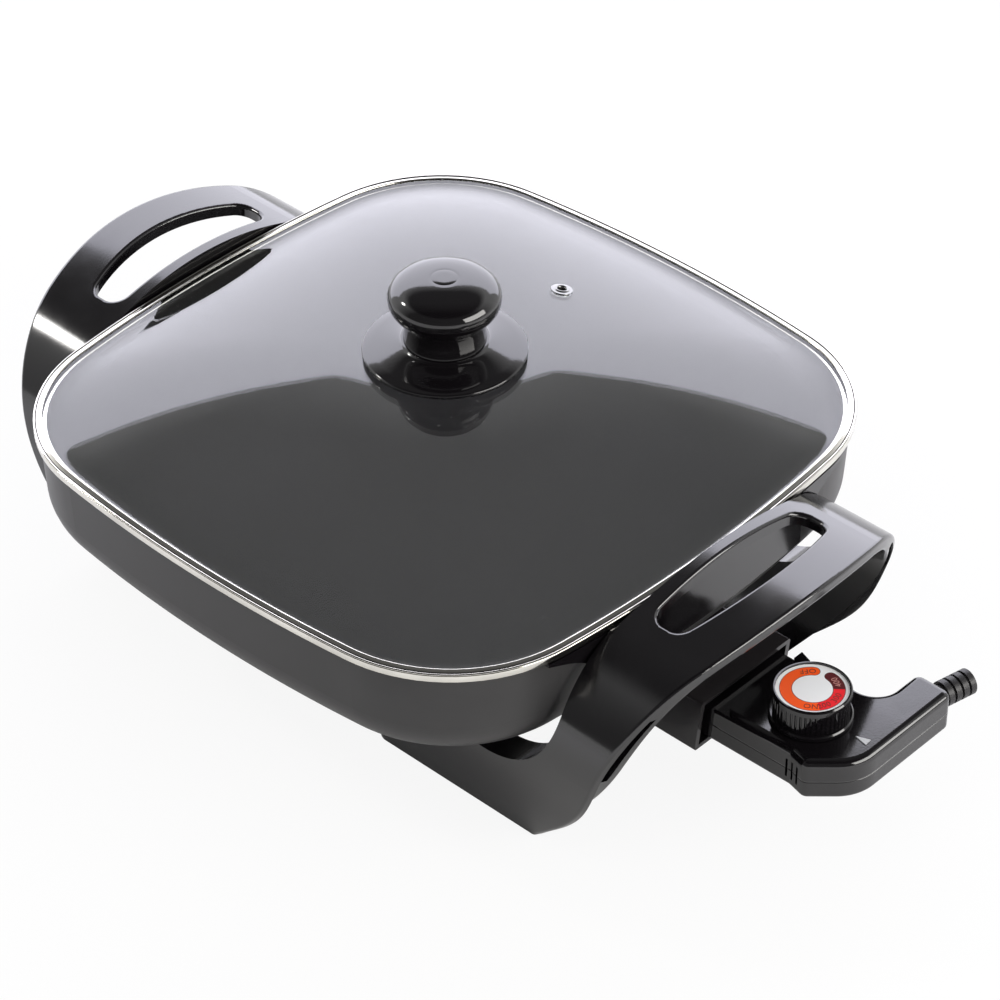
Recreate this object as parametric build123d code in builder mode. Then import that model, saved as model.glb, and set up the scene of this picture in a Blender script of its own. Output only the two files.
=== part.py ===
from build123d import *
import os
from math import asin, cos, degrees, hypot, radians, sin, sqrt, tan

# Electric skillet, millimetres. +Z is up and z = 0 is the worktop. The origin is under the
# pan's centre, +X runs towards the temperature controller, and the handles lie at both ends of X.

# ---- clearances ------------------------------------------------------------------------------
SEAT_GAP = 0.1  # between fixed pieces that fit into each other
BODY_GAP = 0.3  # between pieces that move apart
RUN_GAP = 0.08  # radial, shaft in bush and pin in sleeve

# ---- lid and pan outline: a square with bowed sides and round corners ------------------------
LID_HALF = 152.5  # across the middle of a side
LID_BOW = 16.0  # how far a side's arc falls back over half the width
LID_CORNER_R = 72.0
SIDE_ARC_R = (LID_HALF**2 + LID_BOW**2) / (2 * LID_BOW)

# ---- pan -------------------------------------------------------------------------------------
PAN_INSET = 2.3  # rim of the pan inside the lid's edge
PAN_BASE_Z = 57.0
PAN_DEPTH = 49.3
PAN_RIM_Z = PAN_BASE_Z + PAN_DEPTH
PAN_LEAN = 2.9  # degrees, walls open upwards
PAN_BASE_R = 22.0
PAN_WALL = 2.6
PAN_FLOOR = 4.0

# ---- heating element, its cast rib and the terminal block ------------------------------------
CASE_HALF_HEIGHT = 9.0  # of the controller, above and below its seam
SOCKET_Z = PAN_BASE_Z - CASE_HALF_HEIGHT - 2  # height of the pins, the probe and the seam
BLOCK_FRONT_X = LID_HALF - 26.5
BLOCK_BACK_X = BLOCK_FRONT_X - 30
BLOCK_HALF = 25.0
BLOCK_BOTTOM_Z = SOCKET_Z - 6.5
BLOCK_CORNER_R = 3.0
ELEMENT_LOOP = 2 * (BLOCK_BACK_X - 1)
ELEMENT_R = 3.3
ELEMENT_CORNER_R = 40.0
ELEMENT_TURN_R = 9.0
RIB_WIDTH = 11.0
RIB_BOTTOM_Z = SOCKET_Z - 1
PIN_SPREAD = 11.0  # pins each side of the probe
PIN_R = 2.4
PIN_LENGTH = 39.0
PIN_TIP_X = BLOCK_FRONT_X + PIN_LENGTH
COLLAR_R = 4.4
COLLAR_LENGTH = 6.0
PROBE_R = 3.0
WELL_R = PROBE_R + BODY_GAP
WELL_DEPTH = 58.0
WELL_END_WALL = 3.0
WELL_RIB_HALF = 7.5

# ---- handle and leg moulding -----------------------------------------------------------------
HANDLE_TOP_Z = PAN_RIM_Z + 11.2  # the crown's highest point
HANDLE_REACH_X = LID_HALF + 52
HANDLE_BOW_R = 204.0  # of the bar's front, seen from above
HANDLE_PLATE = 6.0
CROWN_R = 172.0  # the bar's top, seen along X
SHOULDER_R = 58.0
LEG_HALF = 95.5
LEG_ARC_R = 190.0
ARCH_SHOULDER_R = 44.0
ARCH_HALF = 82.0
ARCH_LEG_R = 120.0
LEG_BACK_X = LID_HALF - 2.5
SADDLE_Z = PAN_BASE_Z - 16
SADDLE_R = 38.5
FOOT_BACK_X = 40.0
FOOT_BACK_R = 6.0
TOE_X = HANDLE_REACH_X - 44.5  # at y = 0; the bow brings the real toe back by 27
INSTEP_X = HANDLE_REACH_X - 16
INSTEP_Z = SADDLE_Z - 7
FLARE_X = HANDLE_REACH_X - 6.8
FLARE_Z = HANDLE_TOP_Z - 57.5
LEG_SKIN = 2.8
CORE_SETBACK = 9.0  # of the leg behind its outer skin, at the toe and the instep
CORE_FLARE_SETBACK = 3.3
POCKET_Z = SADDLE_Z + 11
POCKET_TOP_Z = HANDLE_TOP_Z - 27
HANDLE_EDGE_R = 1.6
EDGE_START_Z = 15.0
SLOT_INNER_X = LID_HALF + 7.2
SLOT_OUTER_X = LID_HALF + 31.8
SLOT_BOW_R = 138.0
SLOT_LENGTH = 95.0
SLOT_END_R = 7.6
SLOT_LIP_R = 1.6
APRON_THICK = 3.5
APRON_BOTTOM_Z = PAN_RIM_Z - 22.3
APRON_FLANK = 58.0  # the apron keeps its full depth up to here, wings taper beyond
WING_HALF = 93.0
WING_INSET = 0.3  # the wings stay just inside the lid's edge, under the ring
WING_Z = PAN_RIM_Z - 0.8
WING_TIP = 1.6
WING_KNEE_Y = 76.0
WING_KNEE_Z = PAN_RIM_Z - 9
LID_CLEARANCE = 1.2
LEG_SCREW_X = 62.0
LEG_SCREW_Y = 83.5
LEG_SCREW_R = 2.0
LEG_SCREW_HEAD_R = 3.4
LEG_SCREW_HEAD = 2.6
LEG_SCREW_GRIP = 9.0
LEG_SCREW_BITE = 9.0
PAN_BOSS_R = 6.5

# ---- socket guard ----------------------------------------------------------------------------
CASE_BOTTOM_Z = SOCKET_Z - CASE_HALF_HEIGHT
CASE_TOP_Z = SOCKET_Z + CASE_HALF_HEIGHT
GUARD_FRONT_X = BLOCK_FRONT_X + 48
GUARD_HALF = 29.0
GUARD_LEAN = 3.0  # its mouth leans back by this towards the bottom
GUARD_BOTTOM_Z = CASE_BOTTOM_Z - 5.5
GUARD_TOP_Z = CASE_TOP_Z + 5
GUARD_BACK_TOP_Z = CASE_TOP_Z + 1.5
GUARD_STEP_X = BLOCK_FRONT_X + 26
GUARD_STEP = 4.0
GUARD_WALL = 2.4
GUARD_EDGE_R = 1.6
GUARD_SCREW_R = 1.9
GUARD_SCREW_HEAD_R = 3.4
GUARD_SCREW_Y = PIN_SPREAD + COLLAR_R + GUARD_SCREW_HEAD_R + 0.7
GUARD_SCREW_HEAD = 2.2
GUARD_SCREW_BITE = 12.0

# ---- lid -------------------------------------------------------------------------------------
RING_BOTTOM_Z = PAN_RIM_Z + BODY_GAP
RING_SHEET = 0.6
RING_WIDTH = 4.0
RING_LIP_DEPTH = 3.4
RING_EDGE_R = 0.7
GLASS_THICK = 3.2
GLASS_TOP_Z = RING_BOTTOM_Z + RING_SHEET + GLASS_THICK
GLASS_INSET = RING_SHEET + SEAT_GAP
RING_TOP_Z = GLASS_TOP_Z + RING_SHEET
DOME_RISE = 28.6
DOME_POWER = 2.2
DOME_STEPS = (0.94, 0.85, 0.72, 0.55, 0.36, 0.18)  # shares of the outline, flat glass outside
VENT_Y = 75.0
VENT_R = 2.0
GROMMET_R = 3.5
GROMMET_FLANGE_R = 5.0
GROMMET_FLANGE = 0.9

# ---- lid knob --------------------------------------------------------------------------------
SEAL_R = 16.0
SEAL_THICK = 1.0
KNOB_BASE_R = 36.0
KNOB_BASE_RIM = 2.2
KNOB_BASE_RISE = 7.0
STEM_R = 19.0
STEM_STEP_R = 22.0
STEM_STEP = 1.6
STEM_HEIGHT = 13.0
CAP_R = 24.3
CAP_HEIGHT = 18.5
CAP_MARK_R = 5.85
INSERT_R = 4.5
INSERT_LENGTH = 11.0
LID_SCREW_R = 2.4
LID_SCREW_HEAD_R = 4.6
LID_SCREW_HEAD = 2.4
WASHER_R = 8.0
WASHER_THICK = 1.2

# ---- temperature controller ------------------------------------------------------------------
CASE_WALL = 2.0
CASE_EDGE_R = 2.2
CASE_TOP_R = 3.4
FLOOR_Z = CASE_BOTTOM_Z + CASE_WALL
CEILING_Z = CASE_TOP_Z - CASE_WALL
NOSE_BACK_X = BLOCK_FRONT_X + 24
NOSE_HALF = GUARD_HALF - GUARD_WALL - 2.6
ISLAND_X = NOSE_BACK_X + 31  # the root step; the casing's top is raised beyond it
ISLAND_RISE = 1.6
ISLAND_INSET = 1.2
ISLAND_CORNER_R = 6.0
ISLAND_Z = CASE_TOP_Z + ISLAND_RISE
EAR_LENGTH = 6.0
EAR_REACH = 4.3
CASE_FAR_Y = 26.0
CASE_WAIST_X = NOSE_BACK_X + 67
CASE_WAIST_HALF = 22.9
CASE_HIP_X = NOSE_BACK_X + 76.3
CASE_HIP_Y = 25.2
CASE_OUTER_X = NOSE_BACK_X + 93.6
CASE_CORNER_Y = 9.3
CASE_CORNER_R = 22.0
CASE_SMALL_R = 4.0
ARM_END_Y = 52.0
ARM_INNER_X = CASE_OUTER_X - 18.9
ARM_FILLET_R = 11.5
VENT_SLOT = 1.1
VENT_SLOT_HEIGHT = 9.5
VENT_SLOT_PITCH = 3.2
VENT_X = NOSE_BACK_X + 68.6
VENT_DROP = 4.5  # of the slots' lower ends below the seam
SLEEVE_R = 3.6
SLEEVE_END_X = NOSE_BACK_X + 22
SLEEVE_BLOCK_X = NOSE_BACK_X + 4
SLEEVE_BLOCK_LENGTH = 8.0
SLEEVE_BLOCK_HALF = 17.0
PROBE_TIP_GAP = 6.0
PROBE_TIP_X = BLOCK_FRONT_X - WELL_DEPTH + PROBE_TIP_GAP
BRACKET_X = NOSE_BACK_X + 26
BRACKET_LENGTH = 13.0
BRACKET_HALF = 8.0
PROBE_END_X = BRACKET_X + 10
BLADE_ROOT_X = BRACKET_X + BRACKET_LENGTH
BLADE_LENGTH = 24.0
BLADE_HALF = 3.5
BLADE_THICK = 0.6
BIMETAL_Z = SOCKET_Z - 4
CONTACT_ARM_Z = SOCKET_Z - 0.6
CONTACT_X = BLADE_ROOT_X + 14
CONTACT_R = 1.8
CONTACT_GAP = 0.4
PUSH_PIN_R = 1.2
STRAP_HALF = 1.6
STRAP_THICK = 1.0
STRAP_X = CASE_OUTER_X - CASE_WALL - 4
STRAP_SHORT = 25.0
CLAMP_Y = ARM_END_Y - 14
CLAMP_LENGTH = 5.0
CORD_R = 3.3
CASE_SCREW_R = 1.4
CASE_SCREW_HEAD_R = 2.6
CASE_SCREW_HEAD = 1.6
CASE_BOSS_R = 3.4
CASE_SCREW_Y = PIN_SPREAD + STRAP_HALF + CASE_BOSS_R + 1.5
CASE_SCREWS = (
    (ISLAND_X + 3, -CASE_SCREW_Y),
    (ISLAND_X + 3, CASE_SCREW_Y),
    (CASE_OUTER_X - 11.5, -12.0),
    (ARM_INNER_X + 4.8, 28.0),
)

# ---- strain relief ---------------------------------------------------------------------------
BOOT_X = CASE_OUTER_X - 10.5
BOOT_TURN = 12.0  # degrees from +Y towards +X
BOOT_LENGTH = 20.0
BOOT_CORE_R = 4.6
BOOT_RIB_R = 5.9
BOOT_NECK_R = 7.0
BOOT_PLUG_R = 5.4
BOOT_RIBS = 4
BOOT_PITCH = 4.0
BOOT_NECK = 4.0
BOOT_GROOVE = 1.2
BOOT_FLANGE_R = 6.2
BOOT_FLANGE = 1.6

# ---- dial ------------------------------------------------------------------------------------
DIAL_X = NOSE_BACK_X + 59
DIAL_FLOAT = 0.5
DIAL_FOOT_Z = ISLAND_Z + DIAL_FLOAT
DIAL_HEIGHT = 14.7
DIAL_LIP = 1.0  # the rim stands this far above the label
DIAL_TOP_Z = DIAL_FOOT_Z + DIAL_HEIGHT
DIAL_R = 16.8
DIAL_GRIP_R = 16.2
DIAL_FOOT_R = 17.8
DIAL_FOOT = 2.0
DIAL_RIM = 3.2
DIAL_BEVEL = 0.6
DIAL_ROOF = 2.0
DIAL_KNURLS = 48
DIAL_KNURL_R = 0.55
LABEL_R = 15.5
LABEL_THICK = 0.7
SHAFT_R = 2.5
LABEL_TOP_Z = DIAL_TOP_Z - DIAL_LIP
SHAFT_END_Z = LABEL_TOP_Z - LABEL_THICK - DIAL_ROOF
CAM_R = 6.0
CAM_THICK = 2.0
CAM_Z = SOCKET_Z + 1.6
POINTER_TIP = 22.5  # from the dial's axis
POINTER_LENGTH = 6.1
POINTER_WIDTH = 3.7
POINTER_THICK = 0.5
POINTER_TURN = 4.8  # degrees, where the pointer stands round the dial


# ---- shared outlines -------------------------------------------------------------------------
def lid_outline(inset):
    """The lid's outline, drawn `inset` inside its edge: four bowed sides and four round corners."""
    arc_r = SIDE_ARC_R - inset
    centre = SIDE_ARC_R - LID_HALF
    corner = (sqrt(2 * arc_r**2 - centre**2) - centre) / 2
    middle = LID_HALF - inset
    with BuildSketch() as outline:
        with BuildLine():
            ThreePointArc((-corner, corner), (0, middle), (corner, corner))
            ThreePointArc((corner, corner), (middle, 0), (corner, -corner))
            ThreePointArc((corner, -corner), (0, -middle), (-corner, -corner))
            ThreePointArc((-corner, -corner), (-middle, 0), (-corner, corner))
        make_face()
        fillet(outline.vertices(), LID_CORNER_R - inset)
    return outline.sketch


def dish(growth, bottom_z, top_z, foot_r):
    """The pan's outer form, `growth` larger all round: leaning walls on a rounded foot."""
    with BuildPart() as form:
        for z in (bottom_z, top_z):
            with BuildSketch(Plane.XY.offset(z)):
                add(lid_outline(PAN_INSET + (PAN_RIM_Z - z) * tan(radians(PAN_LEAN)) - growth))
        loft(ruled=True)
        fillet(form.edges().group_by(Axis.Z)[0], foot_r)
    return form.part


def arch(crown_r, shoulder_r, leg_half, leg_r, foot_z):
    """The space under an arch seen along X: crown, shoulders and legs down to `foot_z`."""
    crown_z = HANDLE_TOP_Z - CROWN_R
    shoulder_y = leg_half - shoulder_r
    turn = degrees(asin(shoulder_y / (crown_r - shoulder_r)))
    shoulder_z = crown_z + (crown_r - shoulder_r) * cos(radians(turn))
    leg_turn = degrees(asin((shoulder_z - foot_z) / leg_r))
    with BuildSketch() as half:
        with BuildLine():
            crown = CenterArc((0, crown_z), crown_r, 90, -turn)
            CenterArc((shoulder_y, shoulder_z), shoulder_r, 90 - turn, turn - 90)
            leg = CenterArc((leg_half - leg_r, shoulder_z), leg_r, 0, -leg_turn)
            Polyline(leg @ 1, (0, foot_z), crown @ 0)
        make_face()
        mirror(about=Plane.YZ)
    return half.sketch


def outer_arch(skin, foot_z):
    """Everything within the handle's outer curve, `skin` inside it."""
    return arch(CROWN_R - skin, SHOULDER_R - skin, LEG_HALF - skin, LEG_ARC_R - skin, foot_z)


def inner_arch(skin):
    """The space under the handle, `skin` larger all round."""
    under_r = CROWN_R - HANDLE_PLATE + skin
    return arch(under_r, ARCH_SHOULDER_R + skin, ARCH_HALF + skin, ARCH_LEG_R + skin, 0)


def flare(toe_setback, flare_setback):
    """The leg's front, turned about the bow's upright axis, set back at the toe and at mid height."""
    bow_x = HANDLE_REACH_X - HANDLE_BOW_R
    with BuildPart() as form:
        with BuildSketch(Plane.XZ):
            with BuildLine():
                curve = Spline(
                    (TOE_X - toe_setback, 0),
                    (INSTEP_X - toe_setback, INSTEP_Z),
                    (FLARE_X - flare_setback, FLARE_Z),
                    (HANDLE_REACH_X, HANDLE_TOP_Z),
                    tangents=((1, 1.1), (0.03, 1)),
                )
                Polyline(curve @ 1, (bow_x, HANDLE_TOP_Z), (bow_x, 0), curve @ 0)
            make_face()
        revolve(axis=Axis((bow_x, 0, 0), (0, 0, 1)))
    return form.part


def controller_outline():
    """The controller seen from above: nose, waist, round outer corner and the arm towards +Y."""
    with BuildSketch() as outline:
        with BuildLine():
            FilletPolyline(
                (NOSE_BACK_X, -NOSE_HALF),
                (CASE_WAIST_X, -CASE_WAIST_HALF),
                (CASE_HIP_X, -CASE_HIP_Y),
                (CASE_OUTER_X, -CASE_CORNER_Y),
                (CASE_OUTER_X, ARM_END_Y),
                (ARM_INNER_X, ARM_END_Y),
                (ARM_INNER_X, CASE_FAR_Y),
                (ISLAND_X + EAR_LENGTH, CASE_FAR_Y),
                (ISLAND_X, NOSE_HALF),
                (NOSE_BACK_X, NOSE_HALF),
                radius=[CASE_SMALL_R] * 3
                + [CASE_CORNER_R]
                + [CASE_SMALL_R] * 2
                + [ARM_FILLET_R]
                + [CASE_SMALL_R] * 3,
                close=True,
            )
        make_face()
    return outline.sketch


def finish(piece, name):
    """Name a finished piece and write its STEP file."""
    piece.part.label = name
    export_step(piece.part, f"parts/{name}.step")


os.makedirs("parts", exist_ok=True)

# ---- pan: dish, cast rib for the element, terminal block, probe well and four bosses ---------
with BuildPart() as pan:
    add(dish(0, PAN_BASE_Z, PAN_RIM_Z, PAN_BASE_R))
    add(
        dish(-PAN_WALL, PAN_BASE_Z + PAN_FLOOR, PAN_RIM_Z + 1, PAN_BASE_R - PAN_WALL),
        mode=Mode.SUBTRACT,
    )
    with BuildSketch(Plane.XY.offset(PAN_BASE_Z)):
        RectangleRounded(
            ELEMENT_LOOP + RIB_WIDTH, ELEMENT_LOOP + RIB_WIDTH, ELEMENT_CORNER_R + RIB_WIDTH / 2
        )
        RectangleRounded(
            ELEMENT_LOOP - RIB_WIDTH,
            ELEMENT_LOOP - RIB_WIDTH,
            ELEMENT_CORNER_R - RIB_WIDTH / 2,
            mode=Mode.SUBTRACT,
        )
    extrude(amount=RIB_BOTTOM_Z - PAN_BASE_Z)
    with BuildSketch(Plane.XY.offset(BLOCK_BOTTOM_Z)):
        with Locations(((BLOCK_BACK_X + BLOCK_FRONT_X) / 2, 0)):
            RectangleRounded(BLOCK_FRONT_X - BLOCK_BACK_X, 2 * BLOCK_HALF, BLOCK_CORNER_R)
        with Locations((BLOCK_FRONT_X - BLOCK_CORNER_R, 0)):
            Rectangle(
                WELL_DEPTH + WELL_END_WALL - BLOCK_CORNER_R,
                2 * WELL_RIB_HALF,
                align=(Align.MAX, Align.CENTER),
            )
    extrude(amount=PAN_BASE_Z - BLOCK_BOTTOM_Z)
    with BuildSketch(Plane.XY.offset(SADDLE_Z)):
        with GridLocations(2 * LEG_SCREW_X, 2 * LEG_SCREW_Y, 2, 2):
            Circle(PAN_BOSS_R)
    extrude(amount=PAN_BASE_Z - SADDLE_Z)
    # bores from the front of the terminal block: probe well, guard screws; from below: leg screws
    with Locations(Location((BLOCK_FRONT_X, 0, SOCKET_Z), (0, 90, 0))):
        Hole(WELL_R, WELL_DEPTH)
    with Locations(
        *[Location((BLOCK_FRONT_X, y, SOCKET_Z), (0, 90, 0)) for y in (-GUARD_SCREW_Y, GUARD_SCREW_Y)]
    ):
        Hole(GUARD_SCREW_R + SEAT_GAP, GUARD_SCREW_BITE + 1)
    with BuildSketch(Plane.XY.offset(SADDLE_Z)):
        with GridLocations(2 * LEG_SCREW_X, 2 * LEG_SCREW_Y, 2, 2):
            Circle(LEG_SCREW_R + SEAT_GAP)
    extrude(amount=LEG_SCREW_BITE + 1, mode=Mode.SUBTRACT)

# ---- heating element: an open square loop whose cold ends run out to the socket --------------
HALF_LOOP = ELEMENT_LOOP / 2
ELEMENT_END = Plane(
    origin=(BLOCK_FRONT_X, -PIN_SPREAD, SOCKET_Z), x_dir=(0, 0, 1), z_dir=(-1, 0, 0)
)
with BuildPart() as heating_element:
    with BuildLine() as element_path:
        FilletPolyline(
            (BLOCK_FRONT_X, -PIN_SPREAD, SOCKET_Z),
            (HALF_LOOP, -PIN_SPREAD, SOCKET_Z),
            (HALF_LOOP, -HALF_LOOP, SOCKET_Z),
            (-HALF_LOOP, -HALF_LOOP, SOCKET_Z),
            (-HALF_LOOP, HALF_LOOP, SOCKET_Z),
            (HALF_LOOP, HALF_LOOP, SOCKET_Z),
            (HALF_LOOP, PIN_SPREAD, SOCKET_Z),
            (BLOCK_FRONT_X, PIN_SPREAD, SOCKET_Z),
            radius=[ELEMENT_TURN_R] + [ELEMENT_CORNER_R] * 4 + [ELEMENT_TURN_R],
        )
    with BuildSketch(ELEMENT_END):
        Circle(ELEMENT_R)
    sweep(path=element_path.wires()[0])

with BuildPart() as element_groove:
    with BuildSketch(ELEMENT_END):
        Circle(ELEMENT_R + SEAT_GAP)
    sweep(path=element_path.wires()[0])

with BuildPart() as grooved_pan:
    add(pan.part)
    add(element_groove.part, mode=Mode.SUBTRACT)

with BuildPart() as element_pins:
    for side in (-1, 1):
        with BuildSketch(Plane(origin=(BLOCK_FRONT_X, side * PIN_SPREAD, SOCKET_Z), z_dir=(1, 0, 0))):
            Circle(PIN_R)
        extrude(amount=PIN_TIP_X - BLOCK_FRONT_X)
    fillet(element_pins.faces().sort_by(Axis.X)[-2:].edges(), PIN_R * 0.6)

with BuildPart() as pin_insulators:
    for side in (-1, 1):
        with BuildSketch(Plane(origin=(BLOCK_FRONT_X, side * PIN_SPREAD, SOCKET_Z), z_dir=(1, 0, 0))):
            Circle(COLLAR_R)
            Circle(PIN_R, mode=Mode.SUBTRACT)
        extrude(amount=COLLAR_LENGTH)

# ---- socket guard: a shroud round the pins, open at the front --------------------------------
with BuildPart() as socket_guard:
    guard_low = GUARD_BOTTOM_Z + GUARD_WALL
    guard_step_top = GUARD_BACK_TOP_Z - GUARD_WALL
    with BuildSketch(Plane.XZ):
        with BuildLine():
            Polyline(
                (BLOCK_FRONT_X, GUARD_BOTTOM_Z),
                (GUARD_FRONT_X - GUARD_LEAN, GUARD_BOTTOM_Z),
                (GUARD_FRONT_X, GUARD_TOP_Z),
                (GUARD_STEP_X, GUARD_TOP_Z),
                (GUARD_STEP_X - GUARD_STEP, GUARD_BACK_TOP_Z),
                (BLOCK_FRONT_X, GUARD_BACK_TOP_Z),
                close=True,
            )
        make_face()
    extrude(amount=GUARD_HALF, both=True)
    fillet(socket_guard.edges().filter_by(Axis.X), GUARD_EDGE_R)
    with BuildSketch(Plane.XZ):
        with BuildLine():
            Polyline(
                (BLOCK_FRONT_X + GUARD_WALL, guard_low),
                (GUARD_FRONT_X + GUARD_WALL, guard_low),
                (GUARD_FRONT_X + GUARD_WALL, GUARD_TOP_Z - GUARD_WALL),
                (GUARD_STEP_X, GUARD_TOP_Z - GUARD_WALL),
                (GUARD_STEP_X - GUARD_STEP, guard_step_top),
                (BLOCK_FRONT_X + GUARD_WALL, guard_step_top),
                close=True,
            )
        make_face()
    extrude(amount=GUARD_HALF - GUARD_WALL, both=True, mode=Mode.SUBTRACT)
    with BuildSketch(Plane(origin=(BLOCK_FRONT_X, 0, SOCKET_Z), z_dir=(1, 0, 0))):
        Circle(WELL_R + BODY_GAP)
        with Locations((0, PIN_SPREAD), (0, -PIN_SPREAD)):
            Circle(COLLAR_R + SEAT_GAP)
        with Locations((0, GUARD_SCREW_Y), (0, -GUARD_SCREW_Y)):
            Circle(GUARD_SCREW_R + SEAT_GAP)
    extrude(amount=GUARD_WALL, mode=Mode.SUBTRACT)

with BuildPart() as guard_screws:
    for side in (-1, 1):
        screw_seat = (BLOCK_FRONT_X + GUARD_WALL, side * GUARD_SCREW_Y, SOCKET_Z)
        with BuildSketch(Plane(origin=screw_seat, z_dir=(1, 0, 0))):
            Circle(GUARD_SCREW_HEAD_R)
        extrude(amount=GUARD_SCREW_HEAD)
        with BuildSketch(Plane(origin=screw_seat, z_dir=(-1, 0, 0))):
            Circle(GUARD_SCREW_R)
        extrude(amount=GUARD_WALL + GUARD_SCREW_BITE)

# ---- handle and leg moulding -----------------------------------------------------------------
with BuildPart() as leg_pocket:
    # the hollow between the legs' outer and inner skins, open to the outside
    with BuildSketch(Plane.YZ):
        add(outer_arch(LEG_SKIN, LEG_SKIN))
        add(inner_arch(LEG_SKIN), mode=Mode.SUBTRACT)
    extrude(amount=2 * HANDLE_REACH_X)
    with BuildSketch(Plane.XZ):
        with BuildLine():
            FilletPolyline(
                (LEG_BACK_X + LEG_SKIN, POCKET_Z),
                (2 * HANDLE_REACH_X, POCKET_Z),
                (2 * HANDLE_REACH_X, POCKET_TOP_Z),
                (LEG_BACK_X + LEG_SKIN, POCKET_TOP_Z),
                radius=[2 * LEG_SKIN, 0, 0, 2 * LEG_SKIN],
                close=True,
            )
        make_face()
    extrude(amount=2 * LEG_HALF, both=True, mode=Mode.INTERSECT)

with BuildPart() as leg_rebate:
    # sets the leg's core back behind the front edge of its outer skin
    with BuildSketch(Plane.YZ):
        add(outer_arch(LEG_SKIN, 0))
    extrude(amount=2 * HANDLE_REACH_X)
    with BuildSketch(Plane.XZ):
        with Locations((0, 0)):
            Rectangle(4 * HANDLE_REACH_X, POCKET_TOP_Z, align=(Align.CENTER, Align.MIN))
    extrude(amount=2 * LEG_HALF, both=True, mode=Mode.INTERSECT)
    add(flare(CORE_SETBACK, CORE_FLARE_SETBACK), mode=Mode.SUBTRACT)

with BuildPart() as apron:
    # hugs the pan and the lid between the legs; two wings taper to thin tips under the ring
    with BuildSketch(Plane.XY.offset(APRON_BOTTOM_Z)):
        add(lid_outline(-APRON_THICK))
        with Locations((LEG_BACK_X, 0)):
            Rectangle(LEG_BACK_X / 2, 2 * APRON_FLANK, mode=Mode.INTERSECT)
    extrude(amount=HANDLE_TOP_Z - APRON_BOTTOM_Z)
    with BuildSketch(Plane.XY.offset(APRON_BOTTOM_Z)):
        add(lid_outline(WING_INSET))
        with Locations((LEG_BACK_X, 0)):
            Rectangle(LEG_BACK_X / 2, 2 * WING_HALF, mode=Mode.INTERSECT)
    extrude(amount=WING_Z - APRON_BOTTOM_Z)
    with BuildSketch(Plane.YZ):
        with Locations((0, HANDLE_TOP_Z - CROWN_R)):
            Circle(CROWN_R - HANDLE_PLATE / 2)
        with Locations((0, APRON_BOTTOM_Z)):
            Rectangle(
                2 * APRON_FLANK, CROWN_R, align=(Align.CENTER, Align.MIN), mode=Mode.INTERSECT
            )
        with BuildLine():
            wing_edge = Spline(
                (APRON_FLANK, APRON_BOTTOM_Z),
                (WING_KNEE_Y, WING_KNEE_Z),
                (WING_HALF, WING_Z - WING_TIP),
                tangents=((1, 0.6), (1, 0.25)),
            )
            Polyline(
                wing_edge @ 1,
                (WING_HALF, WING_Z),
                (0, WING_Z),
                (0, APRON_BOTTOM_Z),
                wing_edge @ 0,
            )
        make_face()
        mirror(about=Plane.YZ)
    extrude(amount=HANDLE_REACH_X, mode=Mode.INTERSECT)

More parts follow.
